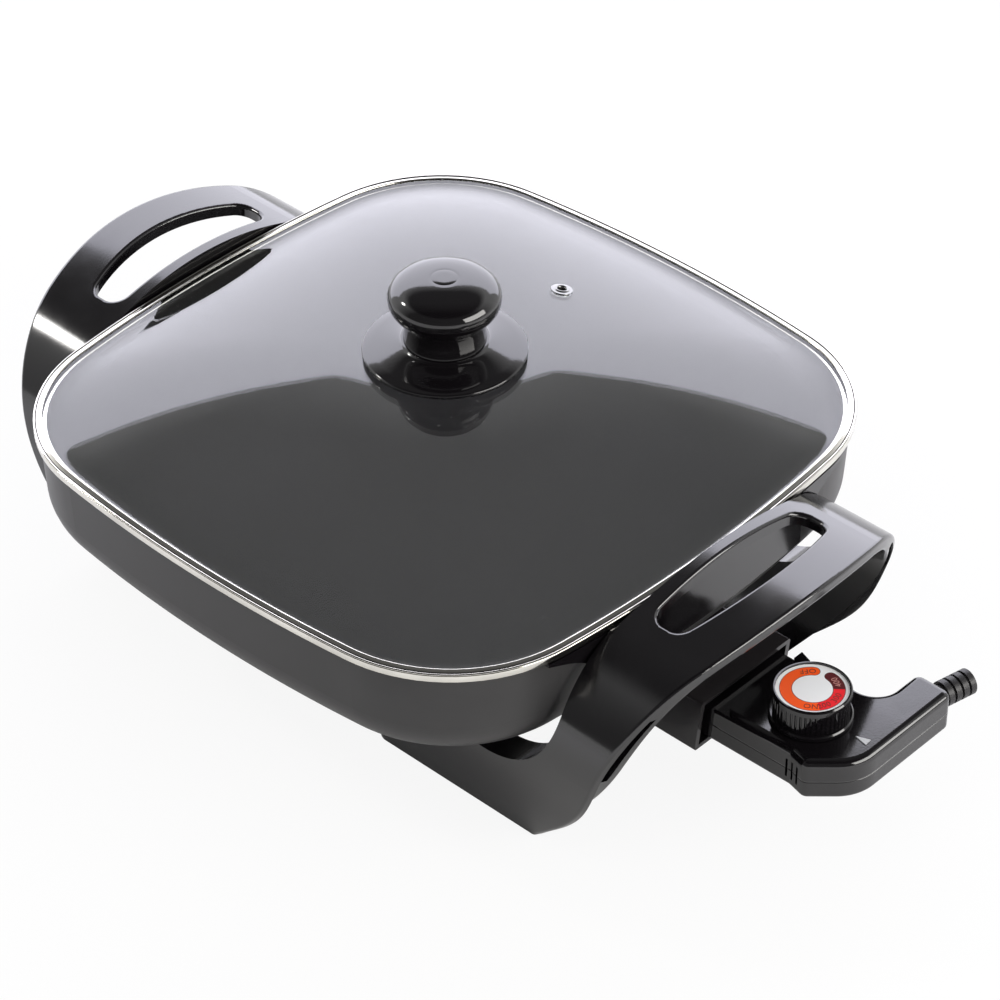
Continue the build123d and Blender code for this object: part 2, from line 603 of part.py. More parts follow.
with BuildPart() as handle_right:
    with BuildSketch(Plane.YZ):
        add(outer_arch(0, 0))
        add(inner_arch(0), mode=Mode.SUBTRACT)
    extrude(amount=2 * HANDLE_REACH_X)
    add(flare(0, 0), mode=Mode.INTERSECT)
    # inner side: upright behind the bar, then a round saddle that dips under the pan
    with BuildSketch(Plane.XZ):
        with BuildLine():
            CenterArc((LEG_BACK_X - SADDLE_R, SADDLE_Z + SADDLE_R), SADDLE_R, 0, -90)
            Polyline(
                (LEG_BACK_X, SADDLE_Z + SADDLE_R),
                (LEG_BACK_X, HANDLE_TOP_Z),
                (HANDLE_REACH_X, HANDLE_TOP_Z),
                (HANDLE_REACH_X, 0),
                (FOOT_BACK_X, 0),
                (FOOT_BACK_X, SADDLE_Z),
                (LEG_BACK_X - SADDLE_R, SADDLE_Z),
            )
        make_face()
    extrude(amount=2 * LEG_HALF, both=True, mode=Mode.INTERSECT)
    lip_edges = [
        edge
        for edge in handle_right.edges().filter_by(GeomType.LINE, reverse=True)
        if edge.center().X > LEG_BACK_X + LEG_SKIN and edge.center().Z > EDGE_START_Z
    ]
    fillet(lip_edges, HANDLE_EDGE_R)
    foot_edges = [
        edge for edge in handle_right.edges().group_by(Axis.X)[0] if edge.length > SADDLE_Z / 2
    ]
    fillet(foot_edges, FOOT_BACK_R)
    add(apron.part)
    add(leg_pocket.part, mode=Mode.SUBTRACT)
    add(leg_rebate.part, mode=Mode.SUBTRACT)
    add(dish(SEAT_GAP, PAN_BASE_Z - SEAT_GAP, RING_BOTTOM_Z, PAN_BASE_R), mode=Mode.SUBTRACT)
    with BuildSketch(Plane.XY.offset(PAN_RIM_Z)):
        add(lid_outline(-LID_CLEARANCE))
    extrude(amount=HANDLE_TOP_Z, mode=Mode.SUBTRACT)
    # finger slot with a rolled lip: straight beside the lid, bowed like the bar's front
    with BuildSketch(Plane.XY.offset(HANDLE_TOP_Z)) as slot:
        with Locations(Location((SLOT_OUTER_X - SLOT_BOW_R, 0, 0), (0, 0, 180))):
            Circle(SLOT_BOW_R)
        with Locations((SLOT_INNER_X, 0)):
            Rectangle(
                SLOT_BOW_R, SLOT_LENGTH, align=(Align.MIN, Align.CENTER), mode=Mode.INTERSECT
            )
        fillet(slot.vertices(), SLOT_END_R)
    extrude(amount=-4 * HANDLE_PLATE, mode=Mode.SUBTRACT)
    slot_edges = [
        edge
        for edge in handle_right.edges().filter_by_position(Axis.X, SLOT_INNER_X - 1, SLOT_OUTER_X + 1)
        if hypot(edge.center().Y, edge.center().Z - HANDLE_TOP_Z + CROWN_R) > CROWN_R - 0.1
        and abs(edge.center().Y) < SLOT_LENGTH / 2 + 1
    ]
    fillet(slot_edges, SLOT_LIP_R)
    # screw holes with deep counterbores in the feet
    with Locations((LEG_SCREW_X, LEG_SCREW_Y, 0), (LEG_SCREW_X, -LEG_SCREW_Y, 0)):
        Cylinder(
            LEG_SCREW_R + SEAT_GAP,
            SADDLE_Z,
            align=(Align.CENTER, Align.CENTER, Align.MIN),
            mode=Mode.SUBTRACT,
        )
        Cylinder(
            LEG_SCREW_HEAD_R + SEAT_GAP,
            SADDLE_Z - LEG_SCREW_GRIP,
            align=(Align.CENTER, Align.CENTER, Align.MIN),
            mode=Mode.SUBTRACT,
        )

with BuildPart() as handle_left:
    mirror(handle_right.part, about=Plane.YZ)

with BuildPart() as leg_screws:
    with BuildSketch(Plane.XY.offset(SADDLE_Z - LEG_SCREW_GRIP)):
        with GridLocations(2 * LEG_SCREW_X, 2 * LEG_SCREW_Y, 2, 2):
            Circle(LEG_SCREW_HEAD_R)
    extrude(amount=-LEG_SCREW_HEAD)
    with BuildSketch(Plane.XY.offset(SADDLE_Z - LEG_SCREW_GRIP)):
        with GridLocations(2 * LEG_SCREW_X, 2 * LEG_SCREW_Y, 2, 2):
            Circle(LEG_SCREW_R)
    extrude(amount=LEG_SCREW_GRIP + LEG_SCREW_BITE)

# ---- lid: domed glass with a flat edge, in a folded steel band -------------------------------
def dome_z(share):
    """Height of the glass's top where the outline is scaled by `share`."""
    rise = DOME_RISE / (1 - DOME_STEPS[-1] ** DOME_POWER)
    return GLASS_TOP_Z + rise * (1 - (share / DOME_STEPS[0]) ** DOME_POWER)


def dome(drop):
    """The solid under the dome, lowered by `drop`."""
    with BuildPart() as form:
        for share in DOME_STEPS:
            with BuildSketch(Plane.XY.offset(dome_z(share) - drop)):
                add(scale(lid_outline(0), by=share, mode=Mode.PRIVATE))
        loft()
    return form.part


DOME_TOP_Z = dome_z(DOME_STEPS[-1])
vent_share = VENT_Y / LID_HALF
vent_z = dome_z(vent_share)
vent_slope = (dome_z(vent_share - 0.01) - dome_z(vent_share + 0.01)) / (0.02 * LID_HALF)
VENT_PLANE = Plane(origin=(0, VENT_Y, vent_z), z_dir=(0, vent_slope, 1))

with BuildPart() as lid_glass:
    with BuildSketch(Plane.XY.offset(GLASS_TOP_Z - GLASS_THICK)):
        add(lid_outline(GLASS_INSET))
    extrude(amount=GLASS_THICK)
    add(dome(0))
    add(dome(GLASS_THICK), mode=Mode.SUBTRACT)
    with Locations((0, 0, DOME_TOP_Z)):
        Hole(LID_SCREW_R + SEAT_GAP, 2 * GLASS_THICK)
    with BuildSketch(VENT_PLANE):
        Circle(GROMMET_R + SEAT_GAP)
    extrude(amount=2 * GLASS_THICK, both=True, mode=Mode.SUBTRACT)

with BuildPart() as lid_ring:
    with BuildSketch(Plane.XY.offset(RING_BOTTOM_Z)):
        add(lid_outline(0))
    extrude(amount=RING_TOP_Z - RING_BOTTOM_Z)
    fillet(lid_ring.edges(), RING_EDGE_R)
    # lip that drops inside the pan's mouth and keeps the lid in place
    lip_inset = PAN_INSET + PAN_WALL + BODY_GAP + RING_LIP_DEPTH * tan(radians(PAN_LEAN))
    with BuildSketch(Plane.XY.offset(RING_BOTTOM_Z)):
        add(lid_outline(lip_inset))
    extrude(amount=-RING_LIP_DEPTH)
    with BuildSketch(Plane.XY.offset(RING_BOTTOM_Z - RING_LIP_DEPTH)):
        add(lid_outline(lip_inset + RING_SHEET))
    extrude(amount=RING_LIP_DEPTH + RING_SHEET, mode=Mode.SUBTRACT)
    with BuildSketch(Plane.XY.offset(GLASS_TOP_Z)):
        add(lid_outline(RING_WIDTH))
    extrude(amount=RING_SHEET, mode=Mode.SUBTRACT)
    # the channel that grips the glass
    with BuildSketch(Plane.XY.offset(GLASS_TOP_Z - GLASS_THICK)):
        add(lid_outline(RING_SHEET))
    extrude(amount=GLASS_THICK, mode=Mode.SUBTRACT)

with BuildPart() as vent_grommet:
    # an eyelet with a flange on each side of the glass
    with BuildSketch(VENT_PLANE.offset(GROMMET_FLANGE)):
        Circle(GROMMET_R)
    extrude(amount=-GLASS_THICK - 2 * GROMMET_FLANGE)
    with BuildSketch(VENT_PLANE.offset(SEAT_GAP)):
        Circle(GROMMET_FLANGE_R)
    extrude(amount=GROMMET_FLANGE)
    with BuildSketch(VENT_PLANE.offset(-GLASS_THICK - SEAT_GAP)):
        Circle(GROMMET_FLANGE_R)
    extrude(amount=-GROMMET_FLANGE)
    with BuildSketch(VENT_PLANE.offset(2 * GROMMET_FLANGE)):
        Circle(VENT_R)
    extrude(amount=-2 * GLASS_THICK, mode=Mode.SUBTRACT)

# ---- lid knob --------------------------------------------------------------------------------
BASE_Z = DOME_TOP_Z + SEAL_THICK
STEM_Z = BASE_Z + KNOB_BASE_RISE
CAP_Z = STEM_Z + STEM_HEIGHT

with BuildPart() as knob_seal:
    with BuildSketch(Plane.XY.offset(DOME_TOP_Z)):
        Circle(SEAL_R)
        Circle(LID_SCREW_R + SEAT_GAP, mode=Mode.SUBTRACT)
    extrude(amount=SEAL_THICK)

with BuildPart() as knob_base:
    with BuildSketch(Plane.XZ):
        with BuildLine():
            Polyline(
                (LID_SCREW_R + SEAT_GAP, BASE_Z),
                (KNOB_BASE_R - 1, BASE_Z),
                (KNOB_BASE_R, BASE_Z + 1),
                (KNOB_BASE_R, BASE_Z + KNOB_BASE_RIM - 0.6),
                (KNOB_BASE_R - 0.8, BASE_Z + KNOB_BASE_RIM),
            )
            ThreePointArc(
                (KNOB_BASE_R - 0.8, BASE_Z + KNOB_BASE_RIM),
                ((KNOB_BASE_R + STEM_STEP_R) / 2, STEM_Z - STEM_STEP - 1.4),
                (STEM_STEP_R, STEM_Z - STEM_STEP),
            )
            Polyline(
                (STEM_STEP_R, STEM_Z - STEM_STEP),
                (STEM_STEP_R - 0.6, STEM_Z),
                (LID_SCREW_R + SEAT_GAP, STEM_Z),
                (LID_SCREW_R + SEAT_GAP, BASE_Z),
            )
        make_face()
    revolve(axis=Axis.Z)

with BuildPart() as lid_knob:
    with BuildSketch(Plane.XZ):
        with BuildLine():
            Polyline((0, STEM_Z), (STEM_R, STEM_Z), (STEM_R - 0.8, CAP_Z - 3))
            Spline(
                (STEM_R - 0.8, CAP_Z - 3),
                (STEM_R + 2.4, CAP_Z + 1.2),
                (CAP_R, CAP_Z + 0.38 * CAP_HEIGHT),
                (0.68 * CAP_R, CAP_Z + 0.85 * CAP_HEIGHT),
                (CAP_MARK_R, CAP_Z + CAP_HEIGHT),
                tangents=((0, 1), (-1, 0.06)),
            )
            Polyline((CAP_MARK_R, CAP_Z + CAP_HEIGHT), (0, CAP_Z + CAP_HEIGHT), (0, STEM_Z))
        make_face()
    revolve(axis=Axis.Z)
    with Locations(Location((0, 0, STEM_Z), (180, 0, 0))):
        Hole(INSERT_R + SEAT_GAP, INSERT_LENGTH)

with BuildPart() as knob_insert:
    with BuildSketch(Plane.XY.offset(STEM_Z)):
        Circle(INSERT_R)
        Circle(LID_SCREW_R + SEAT_GAP, mode=Mode.SUBTRACT)
    extrude(amount=INSERT_LENGTH)

with BuildPart() as knob_washer:
    with BuildSketch(Plane.XY.offset(DOME_TOP_Z - GLASS_THICK)):
        Circle(WASHER_R)
        Circle(LID_SCREW_R + SEAT_GAP, mode=Mode.SUBTRACT)
    extrude(amount=-WASHER_THICK)

with BuildPart() as knob_screw:
    screw_seat_z = DOME_TOP_Z - GLASS_THICK - WASHER_THICK
    with BuildSketch(Plane.XY.offset(screw_seat_z)):
        Circle(LID_SCREW_HEAD_R)
    extrude(amount=-LID_SCREW_HEAD)
    fillet(knob_screw.edges().group_by(Axis.Z)[0], LID_SCREW_HEAD * 0.6)
    with BuildSketch(Plane.XY.offset(screw_seat_z)):
        Circle(LID_SCREW_R)
    extrude(amount=STEM_Z + INSERT_LENGTH - 1 - screw_seat_z)

# ---- controller casings: two shells that meet at the socket's height -------------------------
BOOT_PLANE = Plane(
    origin=(BOOT_X, ARM_END_Y, SOCKET_Z),
    x_dir=(0, 0, 1),
    z_dir=(sin(radians(BOOT_TURN)), cos(radians(BOOT_TURN)), 0),
)
NOSE_PLANE = Plane(origin=(NOSE_BACK_X, 0, SOCKET_Z), z_dir=(-1, 0, 0))


def case_openings():
    """What both casings share: mouths for pins, probe and cord, and the vent slots."""
    with BuildPart() as cuts:
        with BuildSketch(NOSE_PLANE):
            Circle(PROBE_R + SEAT_GAP)
            with Locations((0, PIN_SPREAD), (0, -PIN_SPREAD)):
                Circle(SLEEVE_R + SEAT_GAP)
        extrude(amount=CASE_WALL + 1, both=True)
        with BuildSketch(BOOT_PLANE):
            Circle(BOOT_PLUG_R + SEAT_GAP)
        extrude(amount=2 * CASE_WALL, both=True)
        for column in (-1, 0, 1):
            vent_x = VENT_X + column * VENT_SLOT_PITCH
            with Locations((vent_x, -CASE_HIP_Y, SOCKET_Z - VENT_DROP)):
                Box(
                    VENT_SLOT,
                    4 * CASE_WALL + 2,
                    VENT_SLOT_HEIGHT,
                    align=(Align.CENTER, Align.CENTER, Align.MIN),
                )
    return cuts.part


with BuildPart() as upper_housing:
    with BuildSketch(Plane.XY.offset(SOCKET_Z)):
        add(controller_outline())
    extrude(amount=ISLAND_Z - SOCKET_Z)
    fillet(upper_housing.edges().group_by(Axis.Z)[-1], CASE_TOP_R)
    # the root is lower, and the raised part begins with round corners
    with BuildSketch(Plane.XY.offset(CASE_TOP_Z)):
        with Locations((ISLAND_X + ISLAND_CORNER_R, 0)):
            Rectangle(ISLAND_X, 4 * NOSE_HALF, align=(Align.MAX, Align.CENTER))
        with Locations((ISLAND_X, 0)):
            RectangleRounded(
                CASE_OUTER_X,
                2 * (NOSE_HALF - ISLAND_INSET),
                ISLAND_CORNER_R,
                align=(Align.MIN, Align.CENTER),
                mode=Mode.SUBTRACT,
            )
    extrude(amount=ISLAND_RISE, mode=Mode.SUBTRACT)
    # a small ear where the step meets the far side
    with BuildSketch(Plane.XY.offset(SOCKET_Z)):
        with BuildLine():
            Polyline(
                (ISLAND_X, NOSE_HALF - CASE_WALL / 2),
                (ISLAND_X, NOSE_HALF + EAR_REACH),
                (ISLAND_X + EAR_LENGTH, NOSE_HALF + EAR_REACH - CASE_WALL),
                (ISLAND_X + EAR_LENGTH + CASE_WALL, NOSE_HALF),
                close=True,
            )
        make_face()
    extrude(amount=ISLAND_Z - SOCKET_Z)
    with BuildSketch(Plane.XY.offset(SOCKET_Z)):
        add(controller_outline())
        offset(amount=-CASE_WALL)
    extrude(amount=CEILING_Z - SOCKET_Z, mode=Mode.SUBTRACT)
    with BuildSketch(Plane.XY.offset(SOCKET_Z)):
        with Locations(*CASE_SCREWS):
            Circle(CASE_BOSS_R)
            Circle(CASE_SCREW_R + SEAT_GAP, mode=Mode.SUBTRACT)
    extrude(amount=CEILING_Z - SOCKET_Z)
    with Locations((DIAL_X, 0, ISLAND_Z)):
        Hole(SHAFT_R + RUN_GAP, CASE_TOP_Z - SOCKET_Z)
    add(case_openings(), mode=Mode.SUBTRACT)

with BuildPart() as lower_housing:
    with BuildSketch(Plane.XY.offset(SOCKET_Z)):
        add(controller_outline())
    extrude(amount=CASE_BOTTOM_Z - SOCKET_Z)
    fillet(lower_housing.edges().group_by(Axis.Z)[0], CASE_EDGE_R)
    with BuildSketch(Plane.XY.offset(SOCKET_Z)):
        add(controller_outline())
        offset(amount=-CASE_WALL)
    extrude(amount=FLOOR_Z - SOCKET_Z, mode=Mode.SUBTRACT)
    with BuildSketch(Plane.XY.offset(CASE_BOTTOM_Z)):
        with Locations(*CASE_SCREWS):
            Circle(CASE_BOSS_R)
    extrude(amount=SOCKET_Z - CASE_BOTTOM_Z)
    with BuildSketch(Plane.XY.offset(CASE_BOTTOM_Z)):
        with Locations(*CASE_SCREWS):
            Circle(CASE_SCREW_R + SEAT_GAP)
    extrude(amount=SOCKET_Z - CASE_BOTTOM_Z, mode=Mode.SUBTRACT)
    with BuildSketch(Plane.XY.offset(CASE_BOTTOM_Z)):
        with Locations(*CASE_SCREWS):
            Circle(CASE_SCREW_HEAD_R + SEAT_GAP)
    extrude(amount=CASE_SCREW_HEAD + SEAT_GAP, mode=Mode.SUBTRACT)
    add(case_openings(), mode=Mode.SUBTRACT)

with BuildPart() as housing_screws:
    with BuildSketch(Plane.XY.offset(CASE_BOTTOM_Z + SEAT_GAP)):
        with Locations(*CASE_SCREWS):
            Circle(CASE_SCREW_HEAD_R)
    extrude(amount=CASE_SCREW_HEAD)
    with BuildSketch(Plane.XY.offset(CASE_BOTTOM_Z + SEAT_GAP)):
        with Locations(*CASE_SCREWS):
            Circle(CASE_SCREW_R)
    extrude(amount=CEILING_Z - CASE_BOTTOM_Z - CASE_SCREW_HEAD)

# ---- inside the controller: probe, sleeves and thermostat ------------------------------------
with BuildPart() as probe_rod:
    with BuildSketch(Plane(origin=(PROBE_TIP_X, 0, SOCKET_Z), z_dir=(1, 0, 0))):
        Circle(PROBE_R)
    extrude(amount=PROBE_END_X - PROBE_TIP_X)
    fillet(probe_rod.edges().group_by(Axis.X)[0], PROBE_R * 0.6)

with BuildPart() as contact_sleeves:
    for side in (-1, 1):
        with BuildSketch(Plane(origin=(NOSE_BACK_X, side * PIN_SPREAD, SOCKET_Z), z_dir=(1, 0, 0))):
            Circle(SLEEVE_R)
        extrude(amount=SLEEVE_END_X - NOSE_BACK_X)
        with BuildSketch(Plane(origin=(NOSE_BACK_X, side * PIN_SPREAD, SOCKET_Z), z_dir=(1, 0, 0))):
            Circle(PIN_R + RUN_GAP)
        extrude(amount=PIN_TIP_X + PIN_R - NOSE_BACK_X, mode=Mode.SUBTRACT)

with BuildPart() as sleeve_block:
    with BuildSketch(Plane(origin=(SLEEVE_BLOCK_X, 0, SOCKET_Z), z_dir=(1, 0, 0))):
        Rectangle(CEILING_Z - FLOOR_Z - 2 * SEAT_GAP, 2 * SLEEVE_BLOCK_HALF)
        Circle(PROBE_R + SEAT_GAP, mode=Mode.SUBTRACT)
        with Locations((0, PIN_SPREAD), (0, -PIN_SPREAD)):
            Circle(SLEEVE_R + SEAT_GAP, mode=Mode.SUBTRACT)
    extrude(amount=SLEEVE_BLOCK_LENGTH)

with BuildPart() as thermostat_bracket:
    with BuildSketch(Plane(origin=(BRACKET_X, 0, SOCKET_Z), z_dir=(1, 0, 0))):
        Rectangle(CEILING_Z - FLOOR_Z - 2 * SEAT_GAP, 2 * BRACKET_HALF)
    extrude(amount=BRACKET_LENGTH)
    with Locations(Location((BRACKET_X, 0, SOCKET_Z), (0, -90, 0))):
        Hole(PROBE_R + SEAT_GAP, PROBE_END_X - BRACKET_X)

with BuildPart() as bimetal_strip:
    with BuildSketch(Plane.XY.offset(BIMETAL_Z)):
        with Locations((BLADE_ROOT_X + BLADE_LENGTH / 2, 0)):
            Rectangle(BLADE_LENGTH, 2 * BLADE_HALF)
    extrude(amount=BLADE_THICK)

with BuildPart() as contact_arm:
    with BuildSketch(Plane.XY.offset(CONTACT_ARM_Z)):
        with Locations((BLADE_ROOT_X + BLADE_LENGTH / 2, 0)):
            Rectangle(BLADE_LENGTH, 2 * BLADE_HALF)
    extrude(amount=BLADE_THICK)

contact_height = (CONTACT_ARM_Z - BIMETAL_Z - BLADE_THICK - CONTACT_GAP) / 2
with BuildPart() as silver_contacts:
    for z in (BIMETAL_Z + BLADE_THICK, CONTACT_ARM_Z - contact_height):
        with BuildSketch(Plane.XY.offset(z)):
            with Locations((CONTACT_X, 0)):
                Circle(CONTACT_R)
        extrude(amount=contact_height)

with BuildPart() as push_pin:
    with BuildSketch(Plane.XY.offset(CONTACT_ARM_Z + BLADE_THICK)):
        with Locations((DIAL_X, 0)):
            Circle(PUSH_PIN_R)
    extrude(amount=CAM_Z - BODY_GAP - CONTACT_ARM_Z - BLADE_THICK)

with BuildPart() as conductor_straps:
    # one runs to the thermostat, the other along the arm to the cord
    with BuildSketch(Plane.XY.offset(SOCKET_Z - STRAP_THICK / 2)):
        with BuildLine():
            Polyline((SLEEVE_END_X, PIN_SPREAD), (STRAP_X, PIN_SPREAD), (STRAP_X, CLAMP_Y))
        trace(line_width=2 * STRAP_HALF)
    extrude(amount=STRAP_THICK)
    with BuildSketch(Plane.XY.offset(SOCKET_Z - STRAP_THICK / 2)):
        with BuildLine():
            Line((SLEEVE_END_X, -PIN_SPREAD), (SLEEVE_END_X + STRAP_SHORT, -PIN_SPREAD))
        trace(line_width=2 * STRAP_HALF)
    extrude(amount=STRAP_THICK)

with BuildPart() as cord_clamp:
    clamp_x = (CASE_OUTER_X + ARM_INNER_X) / 2
    clamp_width = CASE_OUTER_X - ARM_INNER_X - 2 * CASE_WALL - 2 * SEAT_GAP
    with BuildSketch(Plane(origin=(clamp_x, CLAMP_Y, SOCKET_Z), x_dir=(1, 0, 0), z_dir=(0, 1, 0))):
        Rectangle(clamp_width, CEILING_Z - FLOOR_Z - 2 * SEAT_GAP)
        with Locations((BOOT_X - clamp_x, 0)):
            Circle(CORD_R, mode=Mode.SUBTRACT)
    extrude(amount=CLAMP_LENGTH)

# ---- strain relief: a ribbed rubber sleeve held by a flange inside the casing ----------------
with BuildPart() as strain_relief:
    with BuildSketch(BOOT_PLANE.offset(-BOOT_GROOVE)):
        Circle(BOOT_NECK_R)
    with BuildSketch(BOOT_PLANE.offset(BOOT_NECK)):
        Circle(BOOT_CORE_R)
    loft()
    with BuildSketch(BOOT_PLANE):
        Circle(BOOT_CORE_R)
    extrude(amount=BOOT_LENGTH)
    for rib in range(BOOT_RIBS):
        with BuildSketch(BOOT_PLANE.offset(BOOT_LENGTH - (rib + 1) * BOOT_PITCH + BOOT_GROOVE)):
            Circle(BOOT_RIB_R)
        extrude(amount=BOOT_PITCH - BOOT_GROOVE)
    # trimmed flush with the casing's end, then the plug through its mouth and the inner flange
    with BuildSketch(Plane(origin=(BOOT_X, ARM_END_Y + SEAT_GAP, SOCKET_Z), z_dir=(0, -1, 0))):
        Circle(2 * BOOT_NECK_R)
    extrude(amount=BOOT_NECK_R, mode=Mode.SUBTRACT)
    with BuildSketch(BOOT_PLANE.offset(BOOT_GROOVE)):
        Circle(BOOT_PLUG_R)
    extrude(amount=-CASE_WALL - 2 * BOOT_GROOVE)
    flange_y = ARM_END_Y - CASE_WALL - SEAT_GAP
    with BuildSketch(Plane(origin=(BOOT_X, flange_y, SOCKET_Z), z_dir=(0, -1, 0))):
        Circle(BOOT_FLANGE_R)
    extrude(amount=BOOT_FLANGE)
    with BuildSketch(BOOT_PLANE.offset(BOOT_LENGTH)):
        Circle(CORD_R)
    extrude(amount=-BOOT_LENGTH - 4 * CASE_WALL, mode=Mode.SUBTRACT)

# ---- dial ------------------------------------------------------------------------------------
with BuildPart() as control_knob:
    with BuildSketch(Plane.XZ):
        with BuildLine():
            Polyline(
                (DIAL_X, DIAL_FOOT_Z),
                (DIAL_X + DIAL_FOOT_R, DIAL_FOOT_Z),
                (DIAL_X + DIAL_FOOT_R, DIAL_FOOT_Z + DIAL_FOOT - DIAL_BEVEL),
                (DIAL_X + DIAL_FOOT_R - DIAL_BEVEL, DIAL_FOOT_Z + DIAL_FOOT),
                (DIAL_X + DIAL_GRIP_R, DIAL_FOOT_Z + DIAL_FOOT),
                (DIAL_X + DIAL_GRIP_R, DIAL_TOP_Z - DIAL_RIM),
                (DIAL_X + DIAL_R, DIAL_TOP_Z - DIAL_RIM + DIAL_BEVEL),
                (DIAL_X + DIAL_R, DIAL_TOP_Z - DIAL_BEVEL),
                (DIAL_X + DIAL_R - DIAL_BEVEL, DIAL_TOP_Z),
                (DIAL_X, DIAL_TOP_Z),
                close=True,
            )
        make_face()
    revolve(axis=Axis((DIAL_X, 0, 0), (0, 0, 1)))
    with BuildSketch(Plane.XY.offset(DIAL_FOOT_Z + DIAL_FOOT)):
        with Locations((DIAL_X, 0)):
            with PolarLocations(DIAL_GRIP_R + SEAT_GAP, DIAL_KNURLS):
                Circle(DIAL_KNURL_R)
    extrude(amount=DIAL_TOP_Z - DIAL_RIM - DIAL_FOOT_Z - DIAL_FOOT, mode=Mode.SUBTRACT)
    with Locations((DIAL_X, 0, DIAL_TOP_Z)):
        Hole(LABEL_R + SEAT_GAP, LABEL_THICK + DIAL_LIP)
    with Locations(Location((DIAL_X, 0, DIAL_FOOT_Z), (180, 0, 0))):
        Hole(SHAFT_R + SEAT_GAP, SHAFT_END_Z - DIAL_FOOT_Z)

with BuildPart() as dial_plate:
    with BuildSketch(Plane.XY.offset(LABEL_TOP_Z)):
        with Locations((DIAL_X, 0)):
            Circle(LABEL_R)
    extrude(amount=-LABEL_THICK)

with BuildPart() as dial_shaft:
    with BuildSketch(Plane.XY.offset(CAM_Z)):
        with Locations((DIAL_X, 0)):
            Circle(CAM_R)
    extrude(amount=CAM_THICK)
    with BuildSketch(Plane.XY.offset(CAM_Z)):
        with Locations((DIAL_X, 0)):
            Circle(SHAFT_R)
    extrude(amount=SHAFT_END_Z - CAM_Z)

with BuildPart() as setting_pointer:
    pointer_plane = Plane(
        origin=(DIAL_X, 0, ISLAND_Z),
        x_dir=(cos(radians(POINTER_TURN)), sin(radians(POINTER_TURN)), 0),
        z_dir=(0, 0, 1),
    )
    with BuildSketch(pointer_plane):
        with BuildLine():
            Polyline(
                (POINTER_TIP, 0),
                (POINTER_TIP + POINTER_LENGTH, POINTER_WIDTH / 2),
                (POINTER_TIP + POINTER_LENGTH, -POINTER_WIDTH / 2),
                close=True,
            )
        make_face()
    extrude(amount=POINTER_THICK)

# ---- write every piece -----------------------------------------------------------------------
pieces = {
    "pan": grooved_pan,
    "heating_element": heating_element,
    "element_pins": element_pins,
    "pin_insulators": pin_insulators,
    "socket_guard": socket_guard,
    "guard_screws": guard_screws,
    "handle_right": handle_right,
    "handle_left": handle_left,
    "leg_screws": leg_screws,
    "lid_glass": lid_glass,
    "lid_ring": lid_ring,
    "vent_grommet": vent_grommet,
    "knob_seal": knob_seal,
    "knob_base": knob_base,
    "lid_knob": lid_knob,
    "knob_insert": knob_insert,
    "knob_washer": knob_washer,
    "knob_screw": knob_screw,
    "upper_housing": upper_housing,
    "lower_housing": lower_housing,
    "housing_screws": housing_screws,
    "probe_rod": probe_rod,
    "contact_sleeves": contact_sleeves,
    "sleeve_block": sleeve_block,
    "thermostat_bracket": thermostat_bracket,
    "bimetal_strip": bimetal_strip,
    "contact_arm": contact_arm,
    "silver_contacts": silver_contacts,
    "push_pin": push_pin,
    "conductor_straps": conductor_straps,
    "cord_clamp": cord_clamp,
    "strain_relief": strain_relief,
    "setting_pointer": setting_pointer,
    "control_knob": control_knob,
    "dial_plate": dial_plate,
    "dial_shaft": dial_shaft,
}
for name, piece in pieces.items():
    finish(piece, name)
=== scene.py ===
# %% [markdown]
# # Electric skillet
# A square electric frying pan on two moulded handle-and-leg frames, with a lift-off glass lid and
# a plug-in controller with a dial. The CAD model already has every solid in its place. This
# notebook gives it its looks: a studio, a finish for every node, and finer pieces where a product
# has more to show than a solid model, such as the folded steel band round the lid, the pressed
# edge of the glass and the printed dial.

# %% Load the frame
import math

import bmesh
import bpy
from mathutils import Matrix, Vector


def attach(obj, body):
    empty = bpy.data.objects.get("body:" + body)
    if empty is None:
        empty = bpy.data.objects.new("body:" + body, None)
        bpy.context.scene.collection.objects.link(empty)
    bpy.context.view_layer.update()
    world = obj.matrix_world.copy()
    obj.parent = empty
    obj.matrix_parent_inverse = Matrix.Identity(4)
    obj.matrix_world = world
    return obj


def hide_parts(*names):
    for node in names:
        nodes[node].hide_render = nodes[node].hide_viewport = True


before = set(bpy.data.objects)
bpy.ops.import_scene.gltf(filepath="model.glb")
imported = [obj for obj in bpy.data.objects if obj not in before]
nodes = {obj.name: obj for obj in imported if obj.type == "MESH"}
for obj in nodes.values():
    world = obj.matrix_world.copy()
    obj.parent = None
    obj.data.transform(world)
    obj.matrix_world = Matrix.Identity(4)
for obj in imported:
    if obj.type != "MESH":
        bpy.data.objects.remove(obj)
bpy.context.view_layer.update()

MM = 0.001

# %% [markdown]
# ## Camera
# The camera stands to the right of the front, well above the worktop, and uses a long lens so that
# the square lid keeps nearly parallel sides. It looks a little beside the middle of the object.
# Its place is worked out from a turn, a rise and a distance, because those three are easy to read
# and to change one at a time.

# %% Camera
VIEW_CENTRE = Vector((0, 0, 0.111))
VIEW_TURN = math.radians(43.95)
VIEW_RISE = math.radians(37.16)
VIEW_DISTANCE = 1.6947
VIEW_LENS = 139.85  # mm
VIEW_FILM = 36  # mm
VIEW_REACH = 50
VIEW_SIDEWAYS = 0.0137
VIEW_DOWN = 0.0250

